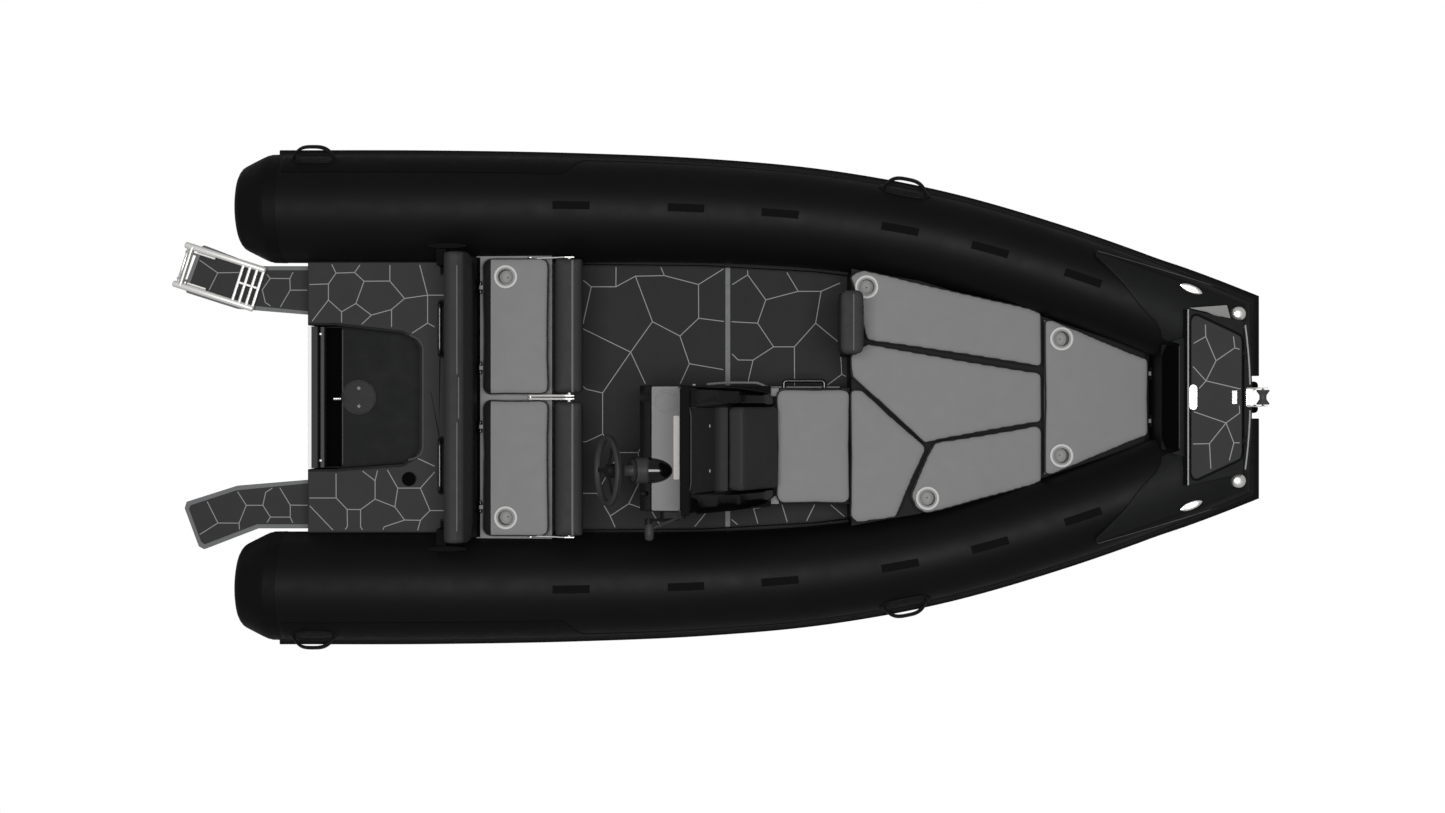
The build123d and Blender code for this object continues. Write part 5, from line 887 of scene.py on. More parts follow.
pads = []
for row in padRows:
    for piece in startPad(row):
        low = coordsOf(piece.data).min(axis=0)
        high = coordsOf(piece.data).max(axis=0)
        if row["node"].startswith("bolster_"):
            # The roll starts without its spindle's bore, as a rounded bar between its two ends
            around = 48
            section = roundSection(high[0] - low[0], high[2] - low[2], 5.0, around)
            middle = (low + high) / 2
            end = np.array([0.985, 1.0, 1.0, 0.985])
            ys = np.array([low[1] + 0.001, low[1] + 0.008, high[1] - 0.008, high[1] - 0.001])
            rows = np.stack([np.stack([middle[0] + section[:, 0] * size, np.full(around, y),
                                       middle[2] + section[:, 1] * size], axis=-1) for size, y in zip(end, ys)])
            points, quads, tris = gridPart(rows)
            mesh = bpy.data.meshes.new(piece.name)
            mesh.from_pydata(points.tolist(), [], quads.tolist() + tris.tolist())
            piece.data = mesh
        shrink = piece.modifiers.new("shrink", "DISPLACE")
        shrink.strength = -padWork["inset"]
        shrink.mid_level = 0.0
        grid = piece.modifiers.new("grid", "REMESH")
        grid.mode = "VOXEL"
        grid.voxel_size = padWork["voxel"]
        ease = piece.modifiers.new("ease", "SMOOTH")
        ease.factor = 0.5
        ease.iterations = 1
        bakeMesh(piece)
        pads.append({"row": row, "piece": piece, "low": low, "high": high, "start": coordsOf(piece.data)})

for pad in pads:
    cloth = pad["piece"].modifiers.new("cloth", "CLOTH")
    cloth.settings.quality = padWork["quality"]
    cloth.settings.mass = padWork["mass"]
    cloth.settings.use_pressure = True
    cloth.settings.uniform_pressure_force = padWork["pressure"]
    cloth.settings.effector_weights.gravity = 0.0
    cloth.point_cache.frame_start = 1
    cloth.point_cache.frame_end = padWork["frames"]
for number in range(1, padWork["frames"] + 1):
    scene.frame_set(number)
graph = bpy.context.evaluated_depsgraph_get()
for pad in pads:
    blown = pad["piece"].evaluated_get(graph).to_mesh()
    pad["move"] = coordsOf(blown) - pad["start"]
    pad["piece"].evaluated_get(graph).to_mesh_clear()
for pad in pads:
    pad["piece"].modifiers.clear()
scene.frame_set(1)

for pad in pads:
    row, piece = pad["row"], pad["piece"]
    size = np.linalg.norm(pad["move"], axis=1).max()
    move = pad["move"] * (row["crown"] / size if size > 0 else 0)
    held = np.ones(len(move))
    for cup in row["cups"]:
        near, far = padWork["cupClear"]
        distance = np.hypot(pad["start"][:, 0] - cup[0], pad["start"][:, 1] - cup[1])
        share = np.clip((distance - near) / (far - near), 0, 1)
        held = np.minimum(held, share ** 2 * (3 - 2 * share))
    normals = np.zeros(len(move) * 3, np.float32)
    piece.data.vertices.foreach_get("normal", normals)
    sideways = normals.reshape(-1, 3) * (*row.get("grow", (0, 0)), 0)
    coords = pad["start"] + (move + sideways) * held[:, None]
    # The base lies on its board, so nothing goes under it
    coords[:, 2] = np.maximum(coords[:, 2], pad["low"][2] + padWork["underside"])
    mesh = piece.data
    mesh.vertices.foreach_set("co", coords.astype(np.float32).ravel())
    mesh.update()
    mesh.polygons.foreach_set("use_smooth", np.ones(len(mesh.polygons), bool))
    mesh.materials.clear()
    mesh.materials.append(row["cover"])
    finer = piece.modifiers.new("finer", "SUBSURF")
    finer.levels = 1
    finer.render_levels = 1
    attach(piece, row["body"])
    if not piece.name.startswith("bowPad") or piece.name == "bowPadA":
        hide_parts(row["node"])
print("stage: padded pieces")

# Welts round the cushions: the cushion's own outline at a height, as a thin cord let into the seam


def sliceLoops(piece, height):
    # Closed outlines of the piece's mesh at that height, longest first
    work = bmesh.new()
    work.from_mesh(piece.data)
    cut = bmesh.ops.bisect_plane(work, geom=work.verts[:] + work.edges[:] + work.faces[:],
                                 plane_co=(0, 0, height), plane_no=(0, 0, 1))
    links = {}
    for edge in cut["geom_cut"]:
        if isinstance(edge, bmesh.types.BMEdge):
            a, b = edge.verts
            links.setdefault(a, []).append(b)
            links.setdefault(b, []).append(a)
    loops, seen = [], set()
    for first in links:
        if first in seen:
            continue
        chain, here = [], first
        while here is not None and here not in seen:
            seen.add(here)
            chain.append(here.co.to_tuple())
            here = next((v for v in links[here] if v not in seen), None)
        loops.append(np.array(chain))
    work.free()
    return sorted(loops, key=len, reverse=True)


def smoothLoop(loop, spacing=0.006, rounds=6):
    # Evenly spaced points round the loop, each averaged with its neighbours a few times
    closed = np.concatenate([loop, loop[:1]])
    run = np.concatenate([[0], np.cumsum(np.linalg.norm(np.diff(closed, axis=0), axis=1))])
    at = np.linspace(0, run[-1], max(24, int(run[-1] / spacing)), endpoint=False)
    even = np.stack([np.interp(at, run, closed[:, axis]) for axis in range(3)], axis=-1)
    for _ in range(rounds):
        even = 0.5 * even + 0.25 * (np.roll(even, 1, axis=0) + np.roll(even, -1, axis=0))
    return even


def weltRound(pad, depth, radius, material):
    # A cord round the pad, that far under its highest plane
    outline = smoothLoop(sliceLoops(pad["piece"], pad["high"][2] - depth)[0])
    part = sweepPart(outline, circleSection(radius, 8), (0, 0, 1), looped=True)
    row = pad["row"]
    return buildPiece(pad["piece"].name + "Welt", [part], material, row["body"])


welt = {"radius": 0.0034, "depth": 0.010}
for pad in pads:
    if pad["row"]["cover"] in (benchVinyl, lightVinyl):
        weltRound(pad, welt["depth"], welt["radius"], darkPiping)


def weltOver(pad, name, xy, radius, material):
    # A cord laid on the pad's upper side along a line given from above
    tree = treeOf(pad["piece"].data)
    path = []
    for x, y in xy:
        hit = tree.ray_cast(Vector((x, y, pad["high"][2] + 0.1)), Vector((0, 0, -1)))[0]
        if hit is not None:
            path.append(tuple(hit))
    path = np.array(path)
    for _ in range(3):
        path[1:-1] = 0.5 * path[1:-1] + 0.25 * (path[:-2] + path[2:])
    row = pad["row"]
    part = sweepPart(path, circleSection(radius, 8), (1, 0, 0))
    return buildPiece(name, [part], material, row["body"])


padNamed = {pad["piece"].name: pad for pad in pads}


def straightXy(x, yStart, yEnd):
    # Points 12 mm apart along a straight line across the boat
    ys = np.arange(yStart, yEnd, 0.012)
    return [(x, y) for y in ys]


# The pale cords lie on the lines where the backrests' and rolls' edges show their highlight, so their paleness is
# partly painted highlight
weltRows = [
    {"pad": "rearBackrestPad", "name": "rearWeltPort", "x": rearTrim["splitX"], "y": (0.115, 0.665), "radius": 0.0032},
    {"pad": "rearBackrestPad", "name": "rearWeltMiddle", "x": rearTrim["splitX"] + 0.008, "y": (-0.105, 0.105),
     "radius": 0.0032},
    {"pad": "rearBackrestPad", "name": "rearWeltStarboard", "x": rearTrim["splitX"], "y": (-0.665, -0.115),
     "radius": 0.0032},
    {"pad": "bolsterPadPort", "name": "bolsterWeltPort", "x": -0.753, "y": (0.028, 0.694), "radius": 0.0065},
    {"pad": "bolsterPadStarboard", "name": "bolsterWeltStarboard", "x": -0.753, "y": (-0.694, -0.028),
     "radius": 0.0065},
    {"pad": "bowBackrestPad", "name": "bowBackrestWelt", "x": 0.650, "y": (0.232, 0.512), "radius": 0.0032},
]
for row in weltRows:
    weltOver(padNamed[row["pad"]], row["name"], straightXy(row["x"], *row["y"]), row["radius"], paleWeltAndHighlight)

# Polished cover strips along the bolsters' arms, dropped onto the arms from above
armStrip = {"x": (-0.984, -0.760), "rows": ((0.008, 0.010), (0.7055, 0.006)), "lift": 0.001, "thick": 0.004}
for name, side, body in (("armStripsPort", 1, "roll_port"), ("armStripsStarboard", -1, "roll_starboard")):
    strips = []
    arms = "bolster_arms_port" if side > 0 else "bolster_arms_starboard"
    for y, wide in armStrip["rows"]:
        xy = [(x, side * y) for x in np.linspace(*armStrip["x"], 30)]
        path = dropOn((arms,), xy, armStrip["lift"])
        if len(path) > 4:
            strips.append(sweepPart(path, roundSection(wide, armStrip["thick"], 4.0, 16), (0, 1, 0)))
    if strips:
        buildPiece(name, strips, satinSteel, body)
print("stage: welts")

# Cup holders: white flange rings over the tubs, with a stepped bottom and a drain hole
cupRows = [
    {"x": -1.1025, "y": 0.614, "top": 0.526, "floor": 0.442, "body": "bench_port"},
    {"x": -1.1025, "y": -0.614, "top": 0.526, "floor": 0.442, "body": "bench_starboard"},
    {"x": 0.733, "y": 0.559, "top": 0.588, "floor": 0.514, "body": "boat"},
    {"x": 1.041, "y": -0.512, "top": 0.588, "floor": 0.514, "body": "boat"},
    {"x": 1.720, "y": 0.296, "top": 0.588, "floor": 0.504, "body": "bow_lid"},
    {"x": 1.720, "y": -0.296, "top": 0.588, "floor": 0.504, "body": "bow_lid"},
]
cupTurn = np.linspace(0, 2 * np.pi, 56, endpoint=False)


def cupLoop(row, profile):
    # A closed profile of (height, radius) carried round the axis of that row's cup
    profile = np.asarray(profile, float)
    rows = np.stack([row["x"] + profile[None, :, 1] * np.cos(cupTurn)[:, None],
                     row["y"] + profile[None, :, 1] * np.sin(cupTurn)[:, None],
                     np.broadcast_to(row["top"] + profile[None, :, 0], (len(cupTurn), len(profile)))], axis=-1)
    return gridPart(rows, looped=True)


for number, row in enumerate(cupRows):
    ring = cupLoop(row, [[0.0006, 0.0470], [0.0026, 0.0478], [0.0036, 0.0505], [0.0036, 0.0555], [0.0022, 0.0588],
                         [0.0, 0.0595], [-0.0042, 0.0595], [-0.0042, 0.0470]])
    buildPiece(f"cupRing{number}", [ring], whiteRing, row["body"])
    shelf = cupLoop(row, [[-0.003, 0.0386], [0.0002, 0.0392], [0.0010, 0.0420], [0.0010, 0.0474], [-0.004, 0.0474],
                          [-0.004, 0.0386]])
    bottom = turnedPart([[0.0002, 0.0382], [0.003, 0.0378], [0.003, 0.027], [0.0012, 0.026], [0.0012, 0.008]],
                        (row["x"], row["y"], row["floor"]), (0, 0, 1), count=40)
    deep = row["floor"] - row["top"] + 0.002
    wall = cupLoop(row, [[deep, 0.0384], [0.0, 0.0388], [0.0, 0.0396], [deep, 0.0396]])
    drain = turnedPart([[0.0, 0.0035], [0.0018, 0.0035], [0.0018, 0.0005]],
                       (row["x"] + 0.004, row["y"], row["floor"]), (0, 0, 1), count=16)
    buildPiece(f"cupTub{number}", [bottom, wall, shelf], cupPlastic, row["body"])
    buildPiece(f"cupDrain{number}", [drain], blackPlastic, row["body"])
print("stage: cups")

# Console: light dash skin on the raked dash; later pieces take their places from the same rake
dashLow = np.array([-0.346, 0.0, 0.962])
dashHigh = np.array([-0.205, 0.0, 0.986])
dashRun = unit(dashHigh - dashLow)
dashUp = np.array([-dashRun[2], 0, dashRun[0]])


def onDash(along, y, lift):
    # Point on the raked dash: metres up the rake, across the boat, off its surface
    along, y, lift = np.broadcast_arrays(np.asarray(along, float), np.asarray(y, float), np.asarray(lift, float))
    return (dashLow + along[..., None] * dashRun + lift[..., None] * dashUp
            + y[..., None] * np.array([0, 1.0, 0]))


def slabPart(outline, lowLift, highLift, place):
    # A flat slab: an outline of (along, y) placed at two heights
    outline = np.asarray(outline, float)
    rows = [place(outline[:, 0], outline[:, 1], lift) for lift in (lowLift, highLift)]
    return gridPart(rows)


dashSkin = {"along": (0.004, 0.143), "y": (-0.552, 0.052), "corner": 0.010, "thick": 0.0025}
corners = [(dashSkin["along"][0], dashSkin["y"][0]), (dashSkin["along"][1], dashSkin["y"][0]),
           (dashSkin["along"][1], dashSkin["y"][1]), (dashSkin["along"][0], dashSkin["y"][1])]
dashOutline = roundedPath(corners, dashSkin["corner"], closed=True)
buildPiece("dashSkin", [slabPart(dashOutline, -0.001, dashSkin["thick"], onDash)], lightMoulding, "boat")

# The dash's cup holder: a low lip round a shallow dish in the moulding's own colour
dashCup = {"along": 0.077, "y": -0.0205}
angle = np.linspace(0, 2 * np.pi, 56, endpoint=False)
ring = np.array([[0.0025, 0.0430], [0.0040, 0.0440], [0.0048, 0.0480], [0.0044, 0.0540], [0.0035, 0.0570],
                 [0.0025, 0.0580], [0.0005, 0.0580], [0.0005, 0.0430]])
rows = onDash(dashCup["along"] + ring[None, :, 1] * np.cos(angle)[:, None],
              dashCup["y"] + ring[None, :, 1] * np.sin(angle)[:, None],
              np.broadcast_to(ring[None, :, 0], (56, len(ring))))
buildPiece("dashCupRing", [gridPart(rows, looped=True)], lightMoulding, "boat")

# Switch panel: beige plate at the foot of the screen, with a row of small rockers
panel = {"along": (0.1125, 0.1410), "y": (-0.400, -0.090), "lift": 0.0045}
panelOutline = roundedPath([(panel["along"][0], panel["y"][0]), (panel["along"][1], panel["y"][0]),
                            (panel["along"][1], panel["y"][1]), (panel["along"][0], panel["y"][1])], 0.006, closed=True)
panelPlate = buildPiece("panelPlate", [slabPart(panelOutline, 0.0, panel["lift"], onDash)], panelBeige, "boat")
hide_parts("switch_panel")
rocker = {"count": 10, "middleY": -0.246, "pitch": 0.028, "half": 0.009, "along": (0.1185, 0.1360), "corner": 0.004,
          "lift": (0.003, 0.0068)}
rockerParts = []
for number in range(rocker["count"]):
    y = rocker["middleY"] + (number - (rocker["count"] - 1) / 2) * rocker["pitch"]
    start, end = rocker["along"]
    low, high = y - rocker["half"], y + rocker["half"]
    corners = [(start, low), (end, low), (end, high), (start, high)]
    outline = roundedPath(corners, rocker["corner"], steps=4, closed=True)
    rockerParts.append(slabPart(outline, *rocker["lift"], onDash))
buildPiece("switchRockers", rockerParts, panelBeige, "boat")

# Wheel rim: a thick ring round the wheel's axis
rim = {"centre": (-0.556, -0.358, 0.9875), "major": 0.1600, "minor": 0.0162}
columnTilt = math.radians(22)  # of the steering column, over the horizontal
rimOut = np.array([-math.cos(columnTilt), 0, math.sin(columnTilt)])
rimUp = np.array([rimOut[2], 0, -rimOut[0]])
angle = np.linspace(0, 2 * np.pi, 72, endpoint=False)
radial = np.cos(angle)[:, None] * np.array([0, 1.0, 0]) + np.sin(angle)[:, None] * rimUp
tube = circleSection(rim["minor"], 16)
rows = (np.array(rim["centre"]) + (rim["major"] + tube[None, :, :1]) * radial[:, None] + tube[None, :, 1:] * rimOut)
buildPiece("wheelRim", [gridPart(rows, looped=True)], wheelGrip, "wheel")

# Helm pod: sleeve over the helm's cylinder and the bullet cowl on the dash behind it
helmFoot = np.array([-0.374, rim["centre"][1], 0.914])
cowl = {"foot": (-0.350, rim["centre"][1], 0.951), "axis": (0.97, 0, 0.10), "long": 0.118, "radius": 0.064,
        "power": 1.9}
podParts = [
    turnedPart([[-0.02, 0.060], [-0.02, 0.0655], [0.0, 0.0655], [0.004, 0.0635], [0.058, 0.0635], [0.066, 0.061],
                [0.071, 0.055], [0.0715, 0.030], [0.075, 0.0275], [0.118, 0.0272], [0.1205, 0.024], [0.1205, 0.012]],
               helmFoot, rimOut, count=56),
]
buildPiece("helmPod", podParts, wheelGrip, "boat")
share = np.linspace(0, 1, 18)
cowlRadius = cowl["radius"] * np.sqrt(np.maximum(1 - share ** cowl["power"], 0.0005))
cowlProfile = np.stack([cowl["long"] * share, cowlRadius], axis=-1)
cowlPart = turnedPart(cowlProfile, cowl["foot"], unit(np.array(cowl["axis"])), count=56)
buildPiece("helmCowl", [cowlPart], glossBlack, "boat")

# Aft face: gloss black fascia with the ignition knob
fasciaLow, fasciaHigh = np.array([-0.405, 0, 0.862]), np.array([-0.346, 0, 0.962])
fasciaRun = unit(fasciaHigh - fasciaLow)
fasciaOut = np.array([-fasciaRun[2], 0, fasciaRun[0]])


def onFascia(along, y, lift):
    # Point on the fascia: metres up its slope, across the boat, off its surface
    along, y, lift = np.broadcast_arrays(np.asarray(along, float), np.asarray(y, float), np.asarray(lift, float))
    return (fasciaLow + along[..., None] * fasciaRun + lift[..., None] * fasciaOut
            + y[..., None] * np.array([0, 1.0, 0]))


outline = roundedPath([(0.004, -0.552), (0.112, -0.552), (0.112, 0.052), (0.004, 0.052)], 0.012, closed=True)
buildPiece("dashFascia", [slabPart(outline, -0.001, 0.0022, onFascia)], glossBlack, "boat")
knobAt = onFascia(0.052, -0.472, 0.0)
buildPiece("ignitionKnob", [turnedPart([[0.0, 0.017], [0.004, 0.0165], [0.005, 0.011], [0.020, 0.010], [0.023, 0.007],
                                        [0.023, 0.001]], knobAt, fasciaOut, count=32)], blackPlastic, "boat")

# Forward side of the console: a dark cover down the screen between two gloss black cheeks
cover = {"y": (-0.458, -0.050), "thick": 0.006, "bend": 0.03}
coverPath = roundedPath([(-0.154, 0, 1.272), (-0.036, 0, 0.962), (-0.016, 0, 0.944), (0.027, 0, 0.937)], cover["bend"])
middleY = sum(cover["y"]) / 2
coverSection = roundSection(cover["y"][1] - cover["y"][0], cover["thick"], 8.0, 40)
coverPart = sweepPart(coverPath + (0, middleY, 0), coverSection, (0, 1, 0))
buildPiece("screenCover", [coverPart], coverSheet, "boat")
# A pale line of painted highlight along the edge of the screen's frame
edgePath = roundedPath([(-0.178, 0.044, 1.306), (-0.146, -0.075, 1.294), (-0.146, -0.417, 1.294),
                        (-0.178, -0.536, 1.306)], 0.03)
buildPiece("screenFrameHighlight", [sweepPart(edgePath, circleSection(0.0028, 10), (0, 0, 1))], greyTrimAndHighlight, "boat")
innerEnds = [(-0.150, -0.530, 1.284), (-0.150, 0.030, 1.284)]
buildPiece("screenInnerRail", [sweepPart(innerEnds, roundSection(0.020, 0.010, 3.0), (0, 0, 1))], blackCasting, "boat")

# Each cheek is a half-round shell carried down the screen and the console's rake; it narrows toward the seat,
# and its lift over the face below swells from the screen to the shoulder and dies away at the seat
cheekGrid = {"along": 44, "around": 24}
cheekPath = roundedPath([(-0.152, 0, 1.262), (-0.012, 0, 0.985), (0.262, 0, 0.500)], 0.16, steps=16)
run = np.concatenate([[0], np.cumsum(np.linalg.norm(np.diff(cheekPath, axis=0), axis=1))])
even = np.linspace(0, run[-1], cheekGrid["along"])
cheekPath = np.stack([np.interp(even, run, cheekPath[:, axis]) for axis in range(3)], axis=-1)
ahead = unit(np.gradient(cheekPath, axis=0))
off = np.stack([-ahead[:, 2], np.zeros(cheekGrid["along"]), ahead[:, 0]], axis=-1)
cheek = {"x": [-0.16, 0.06, 0.20, 0.262], "outer": [0.050, 0.050, 0.033, -0.006], "inner": -0.047, "sunk": 0.004,
         "run": [0, 0.08, 0.30, 0.50, 0.80, 0.96, 1.0], "lift": [0.004, 0.014, 0.022, 0.040, 0.046, 0.030, 0.004]}
outer = np.interp(cheekPath[:, 0], cheek["x"], cheek["outer"])
lift = np.interp(even / run[-1], cheek["run"], cheek["lift"])
turn = np.linspace(0, np.pi, cheekGrid["around"])[None]
bowed = np.sign(np.cos(turn)) * np.abs(np.cos(turn)) ** 0.6
across = (outer[:, None] + cheek["inner"]) / 2 + (outer[:, None] - cheek["inner"]) / 2 * bowed
rise = -cheek["sunk"] + lift[:, None] * np.abs(np.sin(turn)) ** 0.6
rows = cheekPath[:, None] + across[..., None] * np.array([0, 1.0, 0]) + rise[..., None] * off[:, None]
cheekPart = gridPart(rows)
mirrorAbout = 2 * middleY
otherCheek = (cheekPart[0] * (1, -1, 1) + (0, mirrorAbout, 0), cheekPart[1][:, ::-1], cheekPart[2][:, ::-1])
buildPiece("consoleCheeks", [cheekPart, otherCheek], glossBlack, "boat")

# Bolts and studs in polished steel on the screen and the cheeks
screenFoot, screenTop = np.array([-0.024, 0, 0.900]), np.array([-0.176, 0, 1.300])
screenRun = unit(screenTop - screenFoot)
screenOut = np.array([screenRun[2], 0, -screenRun[0]])
stud = {"up": 0.133, "off": 0.010, "screenY": (-0.139, -0.357), "cheekX": -0.136, "cheekZ": 0.968}
studProfile = [[0.0, 0.0092], [0.0035, 0.0092], [0.0065, 0.0062], [0.0072, 0.001]]
studParts = [turnedPart(studProfile, screenFoot + screenRun * stud["up"] + screenOut * stud["off"]
                        + np.array([0, y, 0]), screenOut, count=20) for y in stud["screenY"]]
studParts += [turnedPart(studProfile, (stud["cheekX"], y, stud["cheekZ"]), (0, way, 0.3), count=20)
              for y, way in ((0.0585, 1), (-0.5585, -1))]
buildPiece("consoleStuds", studParts, stainless, "boat")

# Moulding line of the liner beside the console: pale bead along the port side, and two pale corners by the seat
bead = {"z": 0.40, "radius": 0.0065}
portXy = [(-0.078, 0.067), (0.023, 0.0755), (0.185, 0.0755), (0.2357, 0.050), (0.606, 0.050)]
farXy = [(0.165, -0.570), (0.195, -0.566), (0.226, -0.548)]
beadPaths = [roundedPath([(x, y, bead["z"]) for x, y in xy], bend) for xy, bend in ((portXy, 0.05), (farXy, 0.02))]
beads = [sweepPart(line, circleSection(bead["radius"], 8), (0, 0, 1)) for line in beadPaths]
buildPiece("consoleBead", beads, lightMoulding, "boat")
cornerParts = [boxPart((0.236, 0.006, 0.4705), (0.290, 0.046, 0.4745)),
               boxPart((0.236, -0.546, 0.4705), (0.290, -0.506, 0.4745))]
buildPiece("seatCorners", cornerParts, lightMoulding, "boat", smooth=False)

# Throttle: a softened grip over the lever's end and a flat arm behind it
throttle = {"gripAt": (-0.354, -0.616, 0.984), "armWide": 0.022, "armThick": 0.014}
knob = turnedPart([[0.0, 0.008], [0.0, 0.017], [0.006, 0.0215], [0.044, 0.023], [0.072, 0.021], [0.080, 0.014],
                   [0.082, 0.002]], throttle["gripAt"], (0, -1, 0), count=36)
lever = sweepPart([(-0.198, -0.580, 0.905), (-0.230, -0.596, 0.930), (-0.345, -0.640, 0.984)],
                  roundSection(throttle["armWide"], throttle["armThick"], 3.0), (0, 0, 1))
buildPiece("throttleKnob", [knob, lever], wheelGrip, "boat")
print("stage: console")

# Stern: trim bar over the transom and its caps, black sheet of painted shade in the slot, painted highlights along the
# well's edges, filler cap, drain tube and hatch plate
stern = {"barX": -2.061, "barHalf": 0.362, "barTop": 0.392, "barWide": 0.022, "barHigh": 0.020, "capHalf": 0.326,
         "slotHalf": 0.366, "wellTop": 0.386}
barEnds = np.array([[stern["barX"], side * stern["barHalf"], stern["barTop"]] for side in (-1, 1)])
buildPiece("transomBar", [sweepPart(barEnds, roundSection(stern["barWide"], stern["barHigh"], 4.0), (0, 0, 1))],
           greyTrimAndHighlight, "boat")
# A black sheet at the foot of the transom slot: painted shade in the slot
slotShade = boxPart((-2.089, -stern["slotHalf"], 0.1505), (-1.987, stern["slotHalf"], 0.1530))
buildPiece("slotShadeSheet", [slotShade], blackRubberAndShade, "boat", smooth=False)
# A pale line of painted highlight along the well's forward edge
wellXy = [(-1.612, 0.322), (-1.5645, 0.299), (-1.544, 0.263), (-1.544, -0.262), (-1.553, -0.291), (-1.5765, -0.312),
          (-1.618, -0.324)]
wellPath = roundedPath([(x, y, stern["wellTop"]) for x, y in wellXy], 0.03)
buildPiece("wellEdgeHighlight", [sweepPart(wellPath, circleSection(0.0062, 10), (0, 0, 1))], greyTrimAndHighlight, "boat")
# A pale line of painted highlight along the well's step
stepPath = [(-1.984, -0.352, 0.252), (-1.984, 0.352, 0.252)]
buildPiece("wellStepHighlight", [sweepPart(stepPath, circleSection(0.004, 10), (0, 0, 1))], greyTrimAndHighlight, "boat")
filler = turnedPart([[0.0, 0.036], [0.010, 0.036], [0.0115, 0.034], [0.0105, 0.030], [0.0105, 0.001]],
                    (-1.6157, -0.422, 0.388), (0, 0, 1), count=40)
buildPiece("fillerDisc", [filler], blackRubberAndShade, "boat")
# A black sheet in the gap between the bench and the rear backrest: painted shade in that gap
gapShade = boxPart((-1.284, -0.717, 0.4505), (-1.2405, 0.717, 0.4530))
buildPiece("benchGapShade", [gapShade], blackRubberAndShade, "boat", smooth=False)
endParts = [turnedPart([[0.0, 0.0075], [0.004, 0.0075], [0.006, 0.006], [0.007, 0.001]],
                       (stern["barX"] - 0.008, side * stern["capHalf"], stern["barTop"] + 0.009), (0, 0, 1), count=24)
            for side in (-1, 1)]
buildPiece("transomBarEnds", endParts, stainless, "boat")
drainEnds = [(-2.010, -0.008, 0.362), (-1.972, -0.008, 0.362)]
buildPiece("drainTube", [sweepPart(drainEnds, circleSection(0.007, 16), (0, 0, 1))], stainless, "boat")
hatch = {"x": -1.898, "z": 0.250, "holeY": 0.047}
hatchParts = [turnedPart([[0.0088, 0.0085], [0.0099, 0.0085], [0.0099, 0.0005]],
                         (hatch["x"], side * hatch["holeY"], hatch["z"] + 0.0002), (0, 0, 1), count=20)
              for side in (-1, 1)]
hatchDisc = turnedPart([[0.0, 0.0905], [0.0100, 0.0905], [0.0106, 0.088], [0.0088, 0.084], [0.0092, 0.080],
                        [0.0094, 0.001]], (hatch["x"], 0, hatch["z"]), (0, 0, 1), count=56)
buildPiece("hatchRim", [hatchDisc], hatchPlastic, "boat")
buildPiece("hatchHoles", hatchParts, glossBlack, "boat")

# The ladder's own directions: it lies folded back over the port platform, turned with it
ladderTurn = math.radians(-17.8)
ladderAlong = np.array([math.cos(ladderTurn), math.sin(ladderTurn), 0])
ladderAcross = np.array([-math.sin(ladderTurn), math.cos(ladderTurn), 0])
ladderFoot = np.array([-2.824, 0.692, 0.226])


def onLadder(along, across, up):
    # Point in the ladder's own directions: along its rails, across them, above their axes
    return ladderFoot + ladderAlong * along + ladderAcross * across + np.array([0, 0, up])


# The ladder: two rails with caps, a wide aft tread, four slats with a web between them, and two thin inner tubes
ladder = {"rail": 0.106, "railRadius": 0.0165, "aft": -0.024, "forward": 0.4195, "web": 0.006, "inner": 0.083,
          "innerRadius": 0.0055, "treadThick": 0.014}
ladderParts = []
for side in (-1, 1):
    profile = np.array([[0.0, 0.010], [0.003, 0.0150], [0.006, ladder["railRadius"]],
                        [ladder["forward"] - ladder["aft"] - 0.006, ladder["railRadius"]],
                        [ladder["forward"] - ladder["aft"] - 0.003, 0.0150],
                        [ladder["forward"] - ladder["aft"], 0.010]])
    ladderParts.append(turnedPart(profile, onLadder(ladder["aft"], side * ladder["rail"], 0), ladderAlong, count=32))
    inner = [onLadder(0.050, side * ladder["inner"], 0.004), onLadder(0.150, side * ladder["inner"], 0.004)]
    ladderParts.append(sweepPart(inner, circleSection(ladder["innerRadius"], 14), (0, 0, 1)))
treads = [(-0.003, 0.044), (0.291, 0.312), (0.327, 0.350), (0.366, 0.388), (0.403, 0.4195)]
for low, high in treads:
    ends = [onLadder((low + high) / 2, side * ladder["rail"], 0.002) for side in (-1, 1)]
    ladderParts.append(sweepPart(ends, roundSection(high - low, ladder["treadThick"], 6.0, 24), (0, 0, 1)))
web = [onLadder(0.300, 0.004, 0.001), onLadder(0.412, 0.004, 0.001)]
ladderParts.append(sweepPart(web, roundSection(ladder["web"], 0.012, 4.0, 12), (0, 0, 1)))
ladderSkin = buildPiece("ladderPolished", ladderParts, satinSteel, "ladder")
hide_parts("boarding_ladder")
print("stage: stern")

# Foredeck: dark rim round the foam pad, a black sheet of painted shade over the bulkhead, the bulkhead's ledge, and the
# moulding's bead down each side
rimOutline = [(2.284, 0.372), (2.296, 0.400), (2.318, 0.405), (2.504, 0.318), (2.535, 0.301), (2.541, 0.270),
              (2.541, -0.270), (2.535, -0.301), (2.504, -0.318), (2.318, -0.405), (2.296, -0.400), (2.284, -0.372)]
padRim = {"z": 0.9575, "corner": 0.02, "wide": 0.006, "high": 0.009}
rimPath = roundedPath([(x, y, padRim["z"]) for x, y in rimOutline], padRim["corner"], closed=True)
rimSection = roundSection(padRim["wide"], padRim["high"], 3.0, 14)
buildPiece("padRim", [sweepPart(rimPath, rimSection, (0, 0, 1), looped=True)],
           blackCasting, "anchor_hatch")
bulkhead = {"half": 0.252, "shadeSheetThick": 0.004, "ledgeX": (2.2465, 2.2735), "ledgeZ": (0.8790, 0.8815)}
